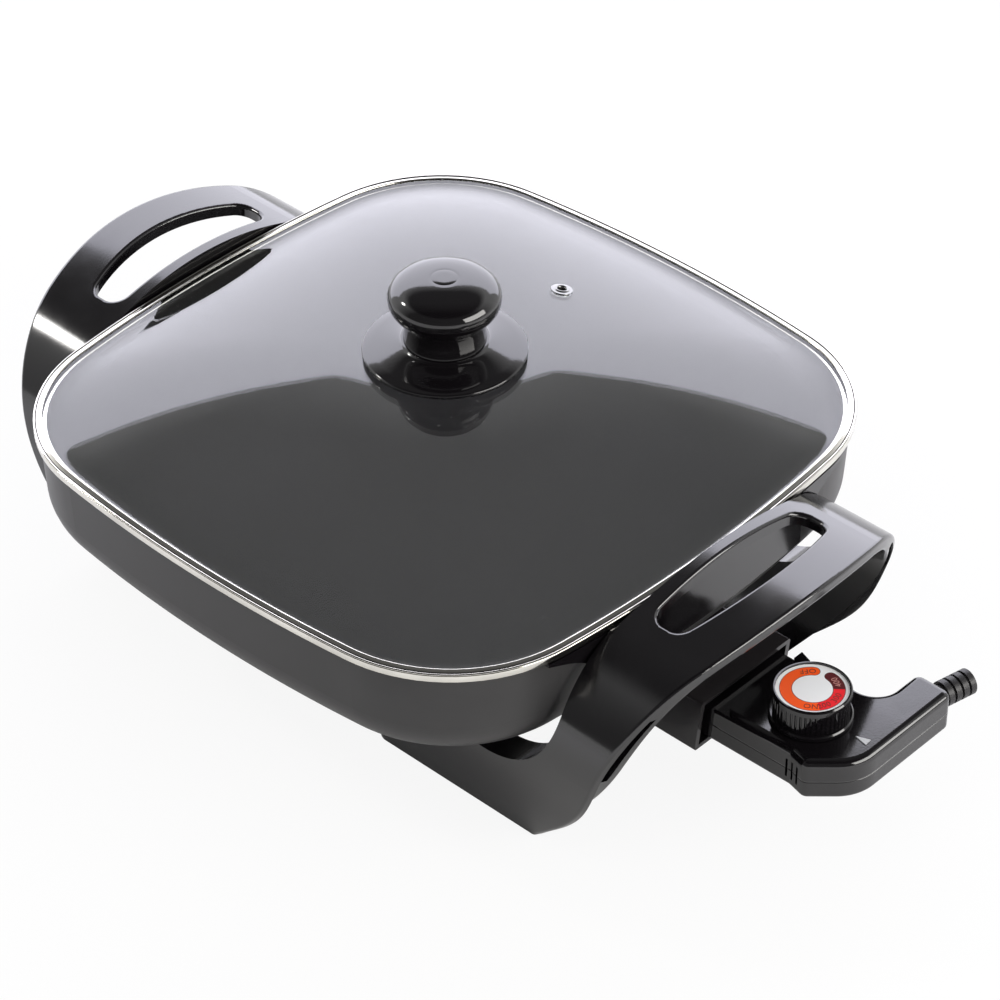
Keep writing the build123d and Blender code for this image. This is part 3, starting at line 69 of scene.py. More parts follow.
toward_camera = Vector(
    (
        math.sin(VIEW_TURN) * math.cos(VIEW_RISE),
        -math.cos(VIEW_TURN) * math.cos(VIEW_RISE),
        math.sin(VIEW_RISE),
    )
)
camera_right = Vector((0, 0, 1)).cross(toward_camera).normalized()
camera_up = toward_camera.cross(camera_right)
camera = bpy.data.objects.new("camera", bpy.data.cameras.new("camera"))
bpy.context.scene.collection.objects.link(camera)
camera.location = VIEW_CENTRE + toward_camera * VIEW_DISTANCE
look = -toward_camera + camera_right * VIEW_SIDEWAYS - camera_up * VIEW_DOWN
camera.rotation_euler = look.to_track_quat("-Z", "Y").to_euler()
camera.data.lens = VIEW_LENS
camera.data.sensor_width = VIEW_FILM
camera.data.clip_end = VIEW_REACH
bpy.context.scene.camera = camera
bpy.context.scene.view_settings.view_transform = "Standard"
print("camera at", camera.location)

# %% [markdown]
# ## Node helpers
# Each finish is a small network of nodes. A helper that makes a node, sets its inputs and names its
# links keeps each network short enough to read in one go.

# %% Node helpers
def add_node(tree, kind, inputs=None, **settings):
    """A new shader node with its settings and inputs. An input may be a value or another socket."""
    node = tree.nodes.new(kind)
    for key, value in settings.items():
        setattr(node, key, value)
    for key, value in (inputs or {}).items():
        if isinstance(value, bpy.types.NodeSocket):
            tree.links.new(value, node.inputs[key])
        else:
            node.inputs[key].default_value = value
    return node


def new_finish(name):
    """An empty material, its node tree and its output node."""
    material = bpy.data.materials.new(name)
    material.use_nodes = True
    tree = material.node_tree
    tree.nodes.clear()
    return material, tree, tree.nodes.new("ShaderNodeOutputMaterial")


def object_points(tree):
    """Object coordinates, which stay with a piece when it moves."""
    return add_node(tree, "ShaderNodeTexCoord").outputs["Object"]


def noise(tree, points, scale, detail=2.0, roughness=0.5):
    """A soft noise with `scale` lumps to the metre, from 0 to 1."""
    inputs = {"Vector": points, "Scale": scale, "Detail": detail, "Roughness": roughness}
    return add_node(tree, "ShaderNodeTexNoise", inputs).outputs["Fac"]


def remap(tree, value, low, high, to_low, to_high):
    """`value` between low and high, stretched to lie between to_low and to_high."""
    inputs = {
        "Value": value,
        "From Min": low,
        "From Max": high,
        "To Min": to_low,
        "To Max": to_high,
    }
    return add_node(tree, "ShaderNodeMapRange", inputs).outputs["Result"]


def mix_colour(tree, share, first, second):
    """`first` where share is 0, `second` where it is 1."""
    node = add_node(tree, "ShaderNodeMix", data_type="RGBA")
    for index, value in ((0, share), (6, first), (7, second)):
        if isinstance(value, bpy.types.NodeSocket):
            tree.links.new(value, node.inputs[index])
        else:
            node.inputs[index].default_value = value
    return node.outputs[2]


def bump(tree, height, strength, distance):
    """Fine relief from a height between 0 and 1."""
    inputs = {"Height": height, "Strength": strength, "Distance": distance}
    return add_node(tree, "ShaderNodeBump", inputs).outputs["Normal"]


def calculate(tree, operation, first, second=0.0):
    """One sum on one or two numbers or sockets."""
    inputs = {0: first, 1: second}
    return add_node(tree, "ShaderNodeMath", inputs, operation=operation).outputs[0]


def vector_node(tree, operation, first, second):
    """The outputs of one sum on two vectors."""
    inputs = {0: first, 1: second}
    return add_node(tree, "ShaderNodeVectorMath", inputs, operation=operation).outputs


def measure(tree, operation, first, second=(0, 0, 0)):
    """One number from two vectors, such as their DISTANCE, or the LENGTH of the first."""
    return vector_node(tree, operation, first, second)["Value"]


def one_axis(tree, vector, axis):
    """The X, Y or Z of a vector."""
    return add_node(tree, "ShaderNodeSeparateXYZ", {0: vector}).outputs[axis]


def plain_shader(tree, output, inputs):
    """The general shader with these inputs, as the material's surface."""
    shader = add_node(tree, "ShaderNodeBsdfPrincipled", inputs)
    tree.links.new(shader.outputs[0], output.inputs["Surface"])


print("node helpers ready")

# %% [markdown]
# ## Studio
# Black gloss mouldings and a glass lid have hardly any colour of their own: what one sees on them
# is the room. A long wall of light stands on the floor behind the skillet. The glass, the knob and
# the handle bars mirror it as a pale veil that ends in a sharp line, where the dark room above the
# wall begins. A lamp like a window to the right and a small round one to the left give the short
# bright highlights, and a soft one from above fills in. The lamps' powers come from how bright
# each should look in a mirror.

# %% Soft lamps
COOL_WHITE = (0.90, 0.895, 1.04)
WARM_WHITE = (1.0, 0.98, 0.95)


def soft_lamp(name, turn, rise, distance, size, brightness, colour=WARM_WHITE):
    """A rectangular lamp that faces the skillet. A mirror shows it at `brightness`, white is 1.

    It stands `turn` degrees round from +X and `rise` degrees up.
    """
    data = bpy.data.lights.new(name, "AREA")
    data.shape = "RECTANGLE"
    data.size, data.size_y = size
    data.energy = brightness * math.pi * size[0] * size[1]
    data.color = colour
    turn, rise = math.radians(turn), math.radians(rise)
    from_middle = Vector(
        (math.cos(turn) * math.cos(rise), math.sin(turn) * math.cos(rise), math.sin(rise))
    )
    lamp = bpy.data.objects.new(name, data)
    bpy.context.scene.collection.objects.link(lamp)
    lamp.location = VIEW_CENTRE + distance * from_middle
    lamp.rotation_euler = (-from_middle).to_track_quat("-Z", "Y").to_euler()
    lamp.visible_camera = False
    return lamp


WALL_SIZE = (4.0, 1.58)
light_wall = soft_lamp(
    "light_wall", turn=136, rise=0, distance=1.5, size=WALL_SIZE, brightness=3.0, colour=COOL_WHITE
)
light_wall.location.z = WALL_SIZE[1] / 2
soft_lamp("window_lamp", turn=14, rise=18, distance=1.3, size=(1.05, 0.58), brightness=6.5)
spot_lamp = soft_lamp(
    "spot_lamp", turn=-151, rise=36, distance=1.34, size=(0.22, 0.22), brightness=50
)
fill_lamp = soft_lamp("fill_lamp", turn=-95, rise=58, distance=1.7, size=(1.0, 1.0), brightness=1.0)
fill_lamp.visible_glossy = False

# %% Glow over the lamps' faces
def glow(lamp, make_strength):
    """Make a lamp brighter in some places of its face than in others."""
    lamp.data.use_nodes = True
    tree = lamp.data.node_tree
    tree.nodes.clear()
    face = add_node(tree, "ShaderNodeNewGeometry").outputs["Parametric"]
    light = add_node(tree, "ShaderNodeEmission", {"Strength": make_strength(tree, face)})
    output = add_node(tree, "ShaderNodeOutputLight")
    tree.links.new(light.outputs[0], output.inputs["Surface"])


WALL_FOOT = 0.70  # the wall's brightness at the floor, as a share of that at the top
SPOT_CORE = 0.20  # radius of the spot's even middle, as a share of its width
SPOT_EDGE = 0.50  # radius at which it has faded to nothing
FACE_MIDDLE = (0.5, 0.5, 0)


def brighter_upwards(tree, face):
    """A strength that grows from the foot of the wall to its top."""
    return remap(tree, one_axis(tree, face, "Y"), 0, 1, WALL_FOOT, 1)


def soft_round(tree, face):
    """A strength that fades to nothing in a circle."""
    from_middle = measure(tree, "DISTANCE", face, FACE_MIDDLE)
    return remap(tree, from_middle, SPOT_CORE, SPOT_EDGE, 1, 0)


glow(light_wall, brighter_upwards)
glow(spot_lamp, soft_round)
print("wall of light graded from", WALL_FOOT, "to 1")

# %% [markdown]
# ## Floor and room
# The floor is a wide pale disc. For the camera it is nearly plain white and keeps a faint soft
# shadow, and it fades to plain white before its edge, where the white room takes over without a
# seam. In mirrors it is the lit floor near the skillet and white further off, as the camera has it.
# The room is white all round for the camera and for glass. A mirror sees its white walls too, but
# they are paler behind the skillet than in front, and above them the ceiling is dark, so that
# the black mouldings stay black. For everything else the room is a dim even grey.

# %% Floor
FLOOR_RADIUS = 4.0
WHITE = (1, 1, 1, 1)
FLOOR_WHITE = (0.86, 0.86, 0.86, 1)
FADE_START = 0.45  # from the middle of the floor, where it begins to turn plain white
FADE_END = 1.3
SHADOW_SHARE = 0.10  # how much of the floor's real light and shadow the camera sees


def any_ray(tree, *kinds):
    """1 for rays of the named kinds and 0 for the others."""
    rays = add_node(tree, "ShaderNodeLightPath").outputs
    share = rays[kinds[0]]
    for kind in kinds[1:]:
        share = calculate(tree, "MAXIMUM", share, rays[kind])
    return share


def floor_finish():
    """Pale floor: lit in the middle, plain white towards the edge."""
    material, tree, output = new_finish("floor_white")
    distance = measure(tree, "LENGTH", object_points(tree))
    plain_seen = remap(tree, distance, FADE_START, FADE_END, 1 - SHADOW_SHARE, 1)
    plain_mirrored = remap(tree, distance, FADE_START, FADE_END, 0, 1)
    seen = any_ray(tree, "Is Camera Ray", "Is Transmission Ray")
    mirrored = any_ray(tree, "Is Glossy Ray")
    share = calculate(
        tree,
        "MAXIMUM",
        calculate(tree, "MULTIPLY", plain_seen, seen),
        calculate(tree, "MULTIPLY", plain_mirrored, mirrored),
    )
    lit = add_node(tree, "ShaderNodeBsdfDiffuse", {"Color": FLOOR_WHITE})
    white = add_node(tree, "ShaderNodeEmission", {"Color": WHITE})
    mixed = add_node(
        tree, "ShaderNodeMixShader", {0: share, 1: lit.outputs[0], 2: white.outputs[0]}
    )
    tree.links.new(mixed.outputs[0], output.inputs["Surface"])
    return material


floor_mesh = bmesh.new()
bmesh.ops.create_circle(floor_mesh, cap_ends=True, segments=96, radius=FLOOR_RADIUS)
floor = bpy.data.objects.new("floor", bpy.data.meshes.new("floor"))
floor_mesh.to_mesh(floor.data)
floor_mesh.free()
floor.data.materials.append(floor_finish())
bpy.context.scene.collection.objects.link(floor)
print("floor radius", FLOOR_RADIUS)

# %% Room
ROOM_LIGHT = 0.55  # for rays that are neither seen nor mirrored
WALL_TOP = 0.64  # sine of the height at which the walls begin to darken
CEILING_START = 0.76  # sine of the height at which they are as dark as the ceiling
CEILING_DARK = 0.12
FRONT_DARK = 0.12
SIDE_BLEND = 0.3  # how far the side walls reach, as a cosine
BEHIND = (-math.sin(VIEW_TURN), math.cos(VIEW_TURN), 0)


def room_light():
    """White walls for the camera, walls with a dark ceiling for mirrors, dim for the rest."""
    world = bpy.data.worlds.new("room")
    world.use_nodes = True
    tree = world.node_tree
    tree.nodes.clear()
    direction = object_points(tree)
    wall = remap(tree, one_axis(tree, direction, "Z"), WALL_TOP, CEILING_START, 1, CEILING_DARK)
    backward = measure(tree, "DOT_PRODUCT", direction, BEHIND)
    side = remap(tree, backward, -SIDE_BLEND, SIDE_BLEND, FRONT_DARK, 1)
    mirror_ray = any_ray(tree, "Is Glossy Ray")
    mirrored = calculate(tree, "MULTIPLY", calculate(tree, "MULTIPLY", wall, side), mirror_ray)
    seen = any_ray(tree, "Is Camera Ray", "Is Transmission Ray")
    plain = calculate(tree, "MAXIMUM", seen, remap(tree, mirror_ray, 0, 1, ROOM_LIGHT, 0))
    strength = calculate(tree, "MAXIMUM", mirrored, plain)
    light = add_node(tree, "ShaderNodeBackground", {"Color": WHITE, "Strength": strength})
    output = add_node(tree, "ShaderNodeOutputWorld")
    tree.links.new(light.outputs[0], output.inputs["Surface"])
    return world


bpy.context.scene.world = room_light()
print("room light", ROOM_LIGHT, "behind", BEHIND)

# %% [markdown]
# ## Finishes
# Hardly any real surface has one even gloss. Each finish below starts from the plain colour of its
# stuff and adds what its making leaves: a faint orange peel on moulded plastic, speckles in the
# non-stick coat, fine rolling marks on steel. All patterns are on Object coordinates in metres, so
# a noise of scale 900 has lumps of about a millimetre.

# %% Plastics and rubber
NOISE_LOW, NOISE_HIGH = 0.3, 0.7  # nearly all of a noise lies between these
CLOUD_LOW, CLOUD_HIGH = 0.35, 0.65  # cut closer, so that clouds reach both of their colours
DRIFT_LUMPS, PEEL_LUMPS, SINK_LUMPS = 60, 900, 16  # to the metre
SEAM_HALF = 0.35 * MM
SEAM_DEPTH = 0.35  # in mm, as all heights of a moulded surface
SEAM_SHADE = (0, 0, 0, 1)


def around(tree, drift, middle, spread):
    """A drifting noise, stretched to lie `spread` each side of `middle`."""
    return remap(tree, drift, NOISE_LOW, NOISE_HIGH, middle - spread, middle + spread)


def moulded(name, colour, rough, spread, peel, shine=0.5, sink=0.0, seam=None):
    """Moulded plastic. Its roughness drifts by `spread`; peel and sink are heights in mm.

    A seam is the height in mm at which two shells meet in a fine groove.
    """
    material, tree, output = new_finish(name)
    points = object_points(tree)
    tint = (*colour, 1)
    drift = noise(tree, points, DRIFT_LUMPS, detail=3)
    fine = calculate(tree, "MULTIPLY", noise(tree, points, PEEL_LUMPS, detail=1), peel)
    broad = calculate(tree, "MULTIPLY", noise(tree, points, SINK_LUMPS, detail=0), sink)
    surface = calculate(tree, "ADD", fine, broad)
    if seam is not None:
        above_seam = calculate(tree, "SUBTRACT", one_axis(tree, points, "Z"), seam * MM)
        off_seam = calculate(tree, "ABSOLUTE", above_seam)
        groove = remap(tree, off_seam, 0, SEAM_HALF, -SEAM_DEPTH, 0)
        surface = calculate(tree, "ADD", surface, groove)
        tint = mix_colour(tree, remap(tree, off_seam, 0, SEAM_HALF, 1, 0), tint, SEAM_SHADE)
    plain_shader(
        tree,
        output,
        {
            "Base Color": tint,
            "Roughness": around(tree, drift, rough, spread),
            "Specular IOR Level": shine,
            "Normal": bump(tree, surface, 1.0, MM),
        },
    )
    return material


# After each colour come the roughness, its spread, the peel and the shine.
BLACK = (0.0045, 0.0038, 0.0046)
CASE_SEAM = 46.0  # height in mm at which the controller's two housings meet
black_phenolic = moulded("black_phenolic", BLACK, 0.075, 0.02, 0.006, 0.80)
handle_black = moulded("handle_black", BLACK, 0.125, 0.03, 0.006, 0.95, sink=0.5)
casing_black = moulded("casing_black", BLACK, 0.085, 0.02, 0.006, 0.80, seam=CASE_SEAM)
guard_black = moulded("guard_black", (0.018, 0.016, 0.017), 0.22, 0.04, 0.016, 0.70)
soft_rubber = moulded("soft_rubber", (0.016, 0.015, 0.016), 0.46, 0.06, 0.05)
pointer_grey = moulded("pointer_grey", (0.55, 0.56, 0.58), 0.4, 0.03, 0.01)
print("moulded finishes made")

# %% [markdown]
# ## Metals and ceramics
# Steel, brass, copper and silver differ in colour and in how far their surface scatters. Fine marks
# of the rolling or turning are a stretched noise in the roughness. A folded strip gets a painted
# shade line in each fold, where the crease would be in shadow, found by its height. Ceramic is a
# plain matt white.

# %% Metals and ceramics
MARK_LUMPS, CLOUD_LUMPS = 1500, 45  # to the metre
DULL_SHARE = 0.82  # of a metal's colour, in its duller clouds
FOLD_SOFT = 0.02 * MM
# painted shade: the colour of the shadow line painted into each fold of a folded strip
FOLD_PAINTED_SHADE = (0.035, 0.033, 0.030, 1)
BAND_SHADED_FOLDS = ((110.40 * MM, 110.58 * MM), (109.74 * MM, 109.86 * MM))  # from height, to height


def metal(name, colour, rough, spread, stretch=(1, 1, 1), shaded_folds=()):
    """Bare metal with fine marks, drawn out along the axes that `stretch` makes small.

    Each pair of heights given for a fold bounds a painted shade line, where the crease would be in
    shadow.
    """
    material, tree, output = new_finish(name)
    here = object_points(tree)
    points = add_node(tree, "ShaderNodeMapping", {"Vector": here, "Scale": stretch}).outputs[0]
    marks = around(tree, noise(tree, points, MARK_LUMPS, detail=2), rough, spread)
    drift = noise(tree, points, CLOUD_LUMPS, detail=2)
    clouds = remap(tree, drift, CLOUD_LOW, CLOUD_HIGH, 0, 1)
    dull = tuple(DULL_SHARE * part for part in colour)
    tint = mix_colour(tree, clouds, (*dull, 1), (*colour, 1))
    # Painted shade: each fold's band of heights is darkened as if the crease were in shadow.
    for low, high in shaded_folds:
        height = one_axis(tree, here, "Z")
        above = remap(tree, height, low - FOLD_SOFT, low, 0, 1)
        below = remap(tree, height, high, high + FOLD_SOFT, 1, 0)
        tint = mix_colour(tree, calculate(tree, "MULTIPLY", above, below), tint, FOLD_PAINTED_SHADE)
    plain_shader(tree, output, {"Base Color": tint, "Metallic": 1.0, "Roughness": marks})
    return material


# After each colour come the roughness and its spread.
polished_steel = metal("polished_steel", (0.82, 0.80, 0.76), 0.14, 0.03)
# The band's two folds get painted shade lines.
band_steel = metal("band_steel", (0.80, 0.78, 0.72), 0.10, 0.02, shaded_folds=BAND_SHADED_FOLDS)
dull_steel = metal("dull_steel", (0.42, 0.41, 0.40), 0.38, 0.08)
zinc_plate = metal("zinc_plate", (0.70, 0.70, 0.68), 0.27, 0.06)
spring_strip = metal("spring_strip", (0.58, 0.55, 0.48), 0.30, 0.06, (0.1, 1, 1))
plain_brass = metal("plain_brass", (0.78, 0.58, 0.28), 0.25, 0.05)
plain_copper = metal("plain_copper", (0.80, 0.44, 0.28), 0.28, 0.06)
eyelet_steel = metal("eyelet_steel", (0.24, 0.24, 0.235), 0.13, 0.03)
contact_silver = metal("contact_silver", (0.90, 0.90, 0.88), 0.22, 0.04)
white_ceramic = moulded("white_ceramic", (0.80, 0.78, 0.73), 0.55, 0.05, 0.03)
print("metals made")

# %% [markdown]
# ## The pan's coating
# The pan is one casting with two coats: a satin charcoal outside and a darker, finely speckled
# non-stick coat inside. Both are on the same mesh, so the finish needs to know which side it is on.
# Inside, a wall's normal points towards the middle and the floor's normal points up, so the normal
# and the place together say it, with no second material and no painted mask.

# %% Pan coating
OUTSIDE_DARK = (0.038, 0.037, 0.0375, 1)
OUTSIDE_PALE = (0.045, 0.044, 0.0445, 1)
INSIDE_COAT = (0.0125, 0.0115, 0.012, 1)
SPECKLE_PALE = (0.065, 0.062, 0.062, 1)
SPECKLE_CORE, SPECKLE_EDGE = 0.12, 0.22  # radii of a speckle, as shares of its cell
LOT_FROM, LOT_FULL = 0.72, 0.95  # only cells that draw a high lot have a speckle
SPECKLE_CELLS, COAT_CLOUDS, COAT_GRAIN = 330, 30, 350  # to the metre
OUTSIDE_ROUGH = 0.36
INSIDE_ROUGH = 0.52
COAT_SPREAD = 0.03
COAT_SHINE = 0.3
FLOOR_SLOPE = 0.3  # upward part of the normal from which a surface counts as floor


def pan_coating():
    """Satin charcoal outside, speckled non-stick inside."""
    material, tree, output = new_finish("pan_coating")
    coordinates = add_node(tree, "ShaderNodeTexCoord").outputs
    points, normal = coordinates["Object"], coordinates["Normal"]
    flat_points = vector_node(tree, "MULTIPLY", points, (1, 1, 0))[0]
    outward = measure(tree, "DOT_PRODUCT", flat_points, normal)
    faces_middle = calculate(tree, "LESS_THAN", outward, 0.0)
    faces_up = calculate(tree, "GREATER_THAN", one_axis(tree, normal, "Z"), FLOOR_SLOPE)
    inside = calculate(tree, "MAXIMUM", faces_middle, faces_up)
    cells = add_node(
        tree, "ShaderNodeTexVoronoi", {"Vector": points, "Scale": SPECKLE_CELLS}, feature="F1"
    ).outputs
    lot = add_node(tree, "ShaderNodeSeparateColor", {0: cells["Color"]}).outputs[0]
    dot = remap(tree, cells["Distance"], SPECKLE_CORE, SPECKLE_EDGE, 1, 0)
    speckle = calculate(tree, "MULTIPLY", dot, remap(tree, lot, LOT_FROM, LOT_FULL, 0, 1))
    coat_drift = noise(tree, points, COAT_CLOUDS, detail=3)
    clouds = remap(tree, coat_drift, CLOUD_LOW, CLOUD_HIGH, 0, 1)
    outside_colour = mix_colour(tree, clouds, OUTSIDE_DARK, OUTSIDE_PALE)
    inside_colour = mix_colour(tree, speckle, INSIDE_COAT, SPECKLE_PALE)
    rough = remap(tree, inside, 0, 1, OUTSIDE_ROUGH, INSIDE_ROUGH)
    drift = remap(tree, clouds, 0, 1, -COAT_SPREAD, COAT_SPREAD)
    grain = noise(tree, points, COAT_GRAIN, detail=0)
    plain_shader(
        tree,
        output,
        {
            "Base Color": mix_colour(tree, inside, outside_colour, inside_colour),
            "Roughness": calculate(tree, "ADD", rough, drift),
            "Specular IOR Level": COAT_SHINE,
            "Normal": bump(tree, grain, 0.012, 0.1 * MM),
        },
    )
    return material


charcoal_pan = pan_coating()
print("pan coating made")

# %% [markdown]
# ## Glass
# Clear tempered glass of the lid. A shader of real glass keeps lamps from lighting what is under
# it, because straight light can't follow the bend. For rays that look for a lamp the glass is
# therefore simply see-through, and the pan below is lit as it should be.

# %% Glass
GLASS_TINT = (0.965, 0.975, 0.975, 1)
GLASS_SHADOW = (0.93, 0.94, 0.94, 1)  # what is left of the light that goes straight through


def clear_glass():
    """Polished glass with a hint of grey that lets the lamps through."""
    material, tree, output = new_finish("clear_glass")
    glass = add_node(
        tree,
        "ShaderNodeBsdfPrincipled",
        {
            "Base Color": GLASS_TINT,
            "Roughness": 0.0,
            "IOR": 1.5,
            "Transmission Weight": 1.0,
        },
    )
    through = add_node(tree, "ShaderNodeBsdfTransparent", {"Color": GLASS_SHADOW})
    shadow_ray = add_node(tree, "ShaderNodeLightPath").outputs["Is Shadow Ray"]
    mixed = add_node(
        tree,
        "ShaderNodeMixShader",
        {0: shadow_ray, 1: glass.outputs[0], 2: through.outputs[0]},
    )
    tree.links.new(mixed.outputs[0], output.inputs["Surface"])
    return material


lid_clear = clear_glass()
print("glass made")

# %% [markdown]
# ## The folded band round the lid
# A thin steel strip is folded round the edge of the glass. Its outer side is a flat wall, a groove
# runs round the top of it, and the strip ends on the glass in a raised lip. The solid model has it
# as a plain channel. Here the same channel gets its true section, drawn once on the middle of one
# side and then spun round the lid: along the bowed side, round the corner, and along half of the
# next side, four times over. Spinning about the very centres of those arcs keeps the section's
# shape and thickness all the way round, and no point of the outline has to be worked out by hand.

# %% Round the lid
LID_HALF = 152.5 * MM
LID_BOW = 16.0 * MM
LID_CORNER = 72.0 * MM
SIDE_RADIUS = (LID_HALF**2 + LID_BOW**2) / (2 * LID_BOW)
SIDE_STEPS = 7
CORNER_STEPS = 18
WELD = 1e-6  # metres within which points of a finished spin become one

side_centre = SIDE_RADIUS - LID_HALF
to_corner = SIDE_RADIUS - LID_CORNER
corner_middle = (math.sqrt(2 * to_corner**2 - side_centre**2) - side_centre) / 2
side_turn = math.asin(corner_middle / to_corner)


def spin_round_lid(shape, moving):
    """Spin the `moving` part of a shape once along the lid's outline, quarter by quarter."""
    arcs = (
        ((-side_centre, 0), side_turn, SIDE_STEPS),
        ((corner_middle, corner_middle), math.pi / 2 - 2 * side_turn, CORNER_STEPS),
        ((0, -side_centre), side_turn, SIDE_STEPS),
    )
    for quarter in range(4):
        about = Matrix.Rotation(quarter * math.pi / 2, 3, "Z")
        for centre, angle, steps in arcs:
            spun = bmesh.ops.spin(
                shape,
                geom=moving,
                cent=about @ Vector((*centre, 0)),
                axis=(0, 0, 1),
                angle=angle,
                steps=steps,
            )
            moving = spun["geom_last"]
    bmesh.ops.remove_doubles(shape, verts=shape.verts, dist=WELD)


def lid_piece(shape, name, finish, node, sharp_from):
    """Turn a finished shape into an object that rides with the lid and stands for a CAD node."""
    bmesh.ops.recalc_face_normals(shape, faces=shape.faces)
    for face in shape.faces:
        face.smooth = True
    piece = bpy.data.objects.new(name, bpy.data.meshes.new(name))
    shape.to_mesh(piece.data)
    shape.free()
    bpy.context.scene.collection.objects.link(piece)
    piece.data.set_sharp_from_angle(angle=math.radians(sharp_from))
    piece.data.materials.append(finish)
    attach(piece, "lid")
    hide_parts(node)
    return piece


def closed_section(section, place_point):
    """A new shape with the points of a section, joined into a loop that is open on the axis."""
    shape = bmesh.new()
    ring = [shape.verts.new(place_point(*point)) for point in section]
    for here, there in zip(ring, ring[1:] + ring[:1]):
        if here.co.x + there.co.x > 0:
            shape.edges.new((here, there))
    return shape


print("side turns by", round(math.degrees(side_turn), 2), "degrees")

# %% Folded band
BAND_TOP = 111.0
BAND_BOTTOM = 106.6
GLASS_TOP = 110.4
GLASS_BOTTOM = 107.2
SHEET = 0.6
LIP_INSET = 5.37  # of the fold that hangs inside the pan
LIP_BOTTOM = 103.2
SEAT = 0.02  # between the strip and the glass it holds
LIP_OVER = 0.03  # of the lip's edge over the glass
band_section = (
    (0.50, BAND_BOTTOM),
    (0.12, BAND_BOTTOM + 0.14),
    (0.05, BAND_BOTTOM + 0.50),
    (0.05, BAND_TOP - 1.62),
    (0.12, BAND_TOP - 1.40),
    (0.40, BAND_TOP - 1.30),
    (0.48, BAND_TOP - 1.20),
    (0.40, BAND_TOP - 1.10),
    (0.14, BAND_TOP - 0.98),
    (0.06, BAND_TOP - 0.72),
    (0.16, BAND_TOP - 0.44),
    (0.45, BAND_TOP - 0.29),
    (0.75, BAND_TOP - 0.31),
    (0.98, BAND_TOP - 0.53),
    (1.30, BAND_TOP - 0.54),
    (1.50, BAND_TOP - 0.38),
    (2.75, BAND_TOP - 0.14),
    (3.05, BAND_TOP - 0.05),
    (3.40, BAND_TOP),
    (3.75, BAND_TOP - 0.08),
    (3.96, BAND_TOP - 0.32),
    (4.00, GLASS_TOP + LIP_OVER),
    (SHEET + SEAT, GLASS_TOP + LIP_OVER),
    (SHEET + SEAT, GLASS_BOTTOM - SEAT),
    (LIP_INSET + SHEET, GLASS_BOTTOM - SEAT),
    (LIP_INSET + SHEET, LIP_BOTTOM + 0.20),
    (LIP_INSET + SHEET - 0.20, LIP_BOTTOM),
    (LIP_INSET + 0.20, LIP_BOTTOM),
    (LIP_INSET, LIP_BOTTOM + 0.20),
    (LIP_INSET, BAND_BOTTOM),
)
band_shape = closed_section(
    band_section, lambda inset, height: (LID_HALF - inset * MM, 0, height * MM)
)
spin_round_lid(band_shape, band_shape.verts[:] + band_shape.edges[:])
lid_band = lid_piece(
    band_shape, "lid_band", band_steel, "lid_ring", sharp_from=50
)
print("lid band faces:", len(lid_band.data.polygons))

# %% [markdown]
# ## The domed glass
# The solid model's glass has a flat rim and rises at once from a crease. Pressed glass can't do
# that: its dome leaves the steel band in a soft hollow. Here the outline is made once for every
# height, the outlines are bridged from the rim up to the middle hole and back down inside, and the
# vent's hole is cut last.

# %% Domed glass
GLASS_EDGE = 0.7  # inset of the glass's edge, inside the band
HOLLOW_START = 0.972  # share of the outline at which the flat rim ends
HOLLOW_END = 0.869  # share at which the soft hollow has become the dome
DOME_EDGE = 0.94  # share at which the dome would start without the hollow
DOME_FLAT = 0.18  # share at which it is flat for the knob
DOME_POWER = 2.2
DOME_RISE = 29.273
GLASS_HOLE = 0.0165  # share at which the hole for the knob's screw begins
NEAR_RIM = (0.962, 0.951, 0.938, 0.925, 0.91, 0.89, 0.869)
UP_THE_DOME = (0.84, 0.8, 0.75, 0.69, 0.62, 0.54, 0.46, 0.38, 0.3, 0.23, DOME_FLAT)
VENT_PLACE = Vector((0, 75.0, 132.63)) * MM
VENT_NORMAL = Vector((0, 0.2065, 1))
VENT_CUT = 3.55 * MM
CUT_LENGTH = 19.2 * MM
GLASS_SHARP = 40  # degrees


def dome_height(share):
    """Height of the glass above its rim in mm, at a share of the lid's outline."""
    if share >= HOLLOW_START:
        return 0.0
    if share > HOLLOW_END:
        # level at the rim, and at the other end as high and as steep as the dome there
        span = HOLLOW_START - HOLLOW_END
        along = (HOLLOW_START - share) / span
        end_slope = DOME_RISE * DOME_POWER / DOME_EDGE
        end_slope *= (HOLLOW_END / DOME_EDGE) ** (DOME_POWER - 1) * span
        rise = dome_height(HOLLOW_END)
        return rise * along**2 * (3 - 2 * along) + end_slope * along**2 * (along - 1)
    return DOME_RISE * (1 - (max(share, DOME_FLAT) / DOME_EDGE) ** DOME_POWER)


def outline_at(shape, share, height):
    """Add one closed outline of the lid, scaled by `share`, and return its edges."""
    loop = bmesh.new()
    spin_round_lid(loop, [loop.verts.new((LID_HALF, 0, height * MM))])
    bmesh.ops.scale(loop, vec=(share, share, 1), verts=loop.verts)
    carrier = bpy.data.meshes.new("outline")
    loop.to_mesh(carrier)
    loop.free()
    already = len(shape.edges)
    shape.from_mesh(carrier)
    bpy.data.meshes.remove(carrier)
    shape.edges.ensure_lookup_table()
    return shape.edges[already:]


glass_shape = bmesh.new()
glass_shares = (1 - GLASS_EDGE * MM / LID_HALF, HOLLOW_START, *NEAR_RIM, *UP_THE_DOME, GLASS_HOLE)
upper_loops, lower_loops = (
    [outline_at(glass_shape, share, rim + dome_height(share)) for share in glass_shares]
    for rim in (GLASS_TOP, GLASS_BOTTOM)
)
glass_loops = upper_loops + lower_loops[::-1]
for here, there in zip(glass_loops, glass_loops[1:] + glass_loops[:1]):
    bmesh.ops.bridge_loops(glass_shape, edges=here + there)
domed_glass = lid_piece(
    glass_shape, "domed_glass", lid_clear, "lid_glass", sharp_from=GLASS_SHARP
)
print("glass before the vent:", len(domed_glass.data.polygons), "faces")

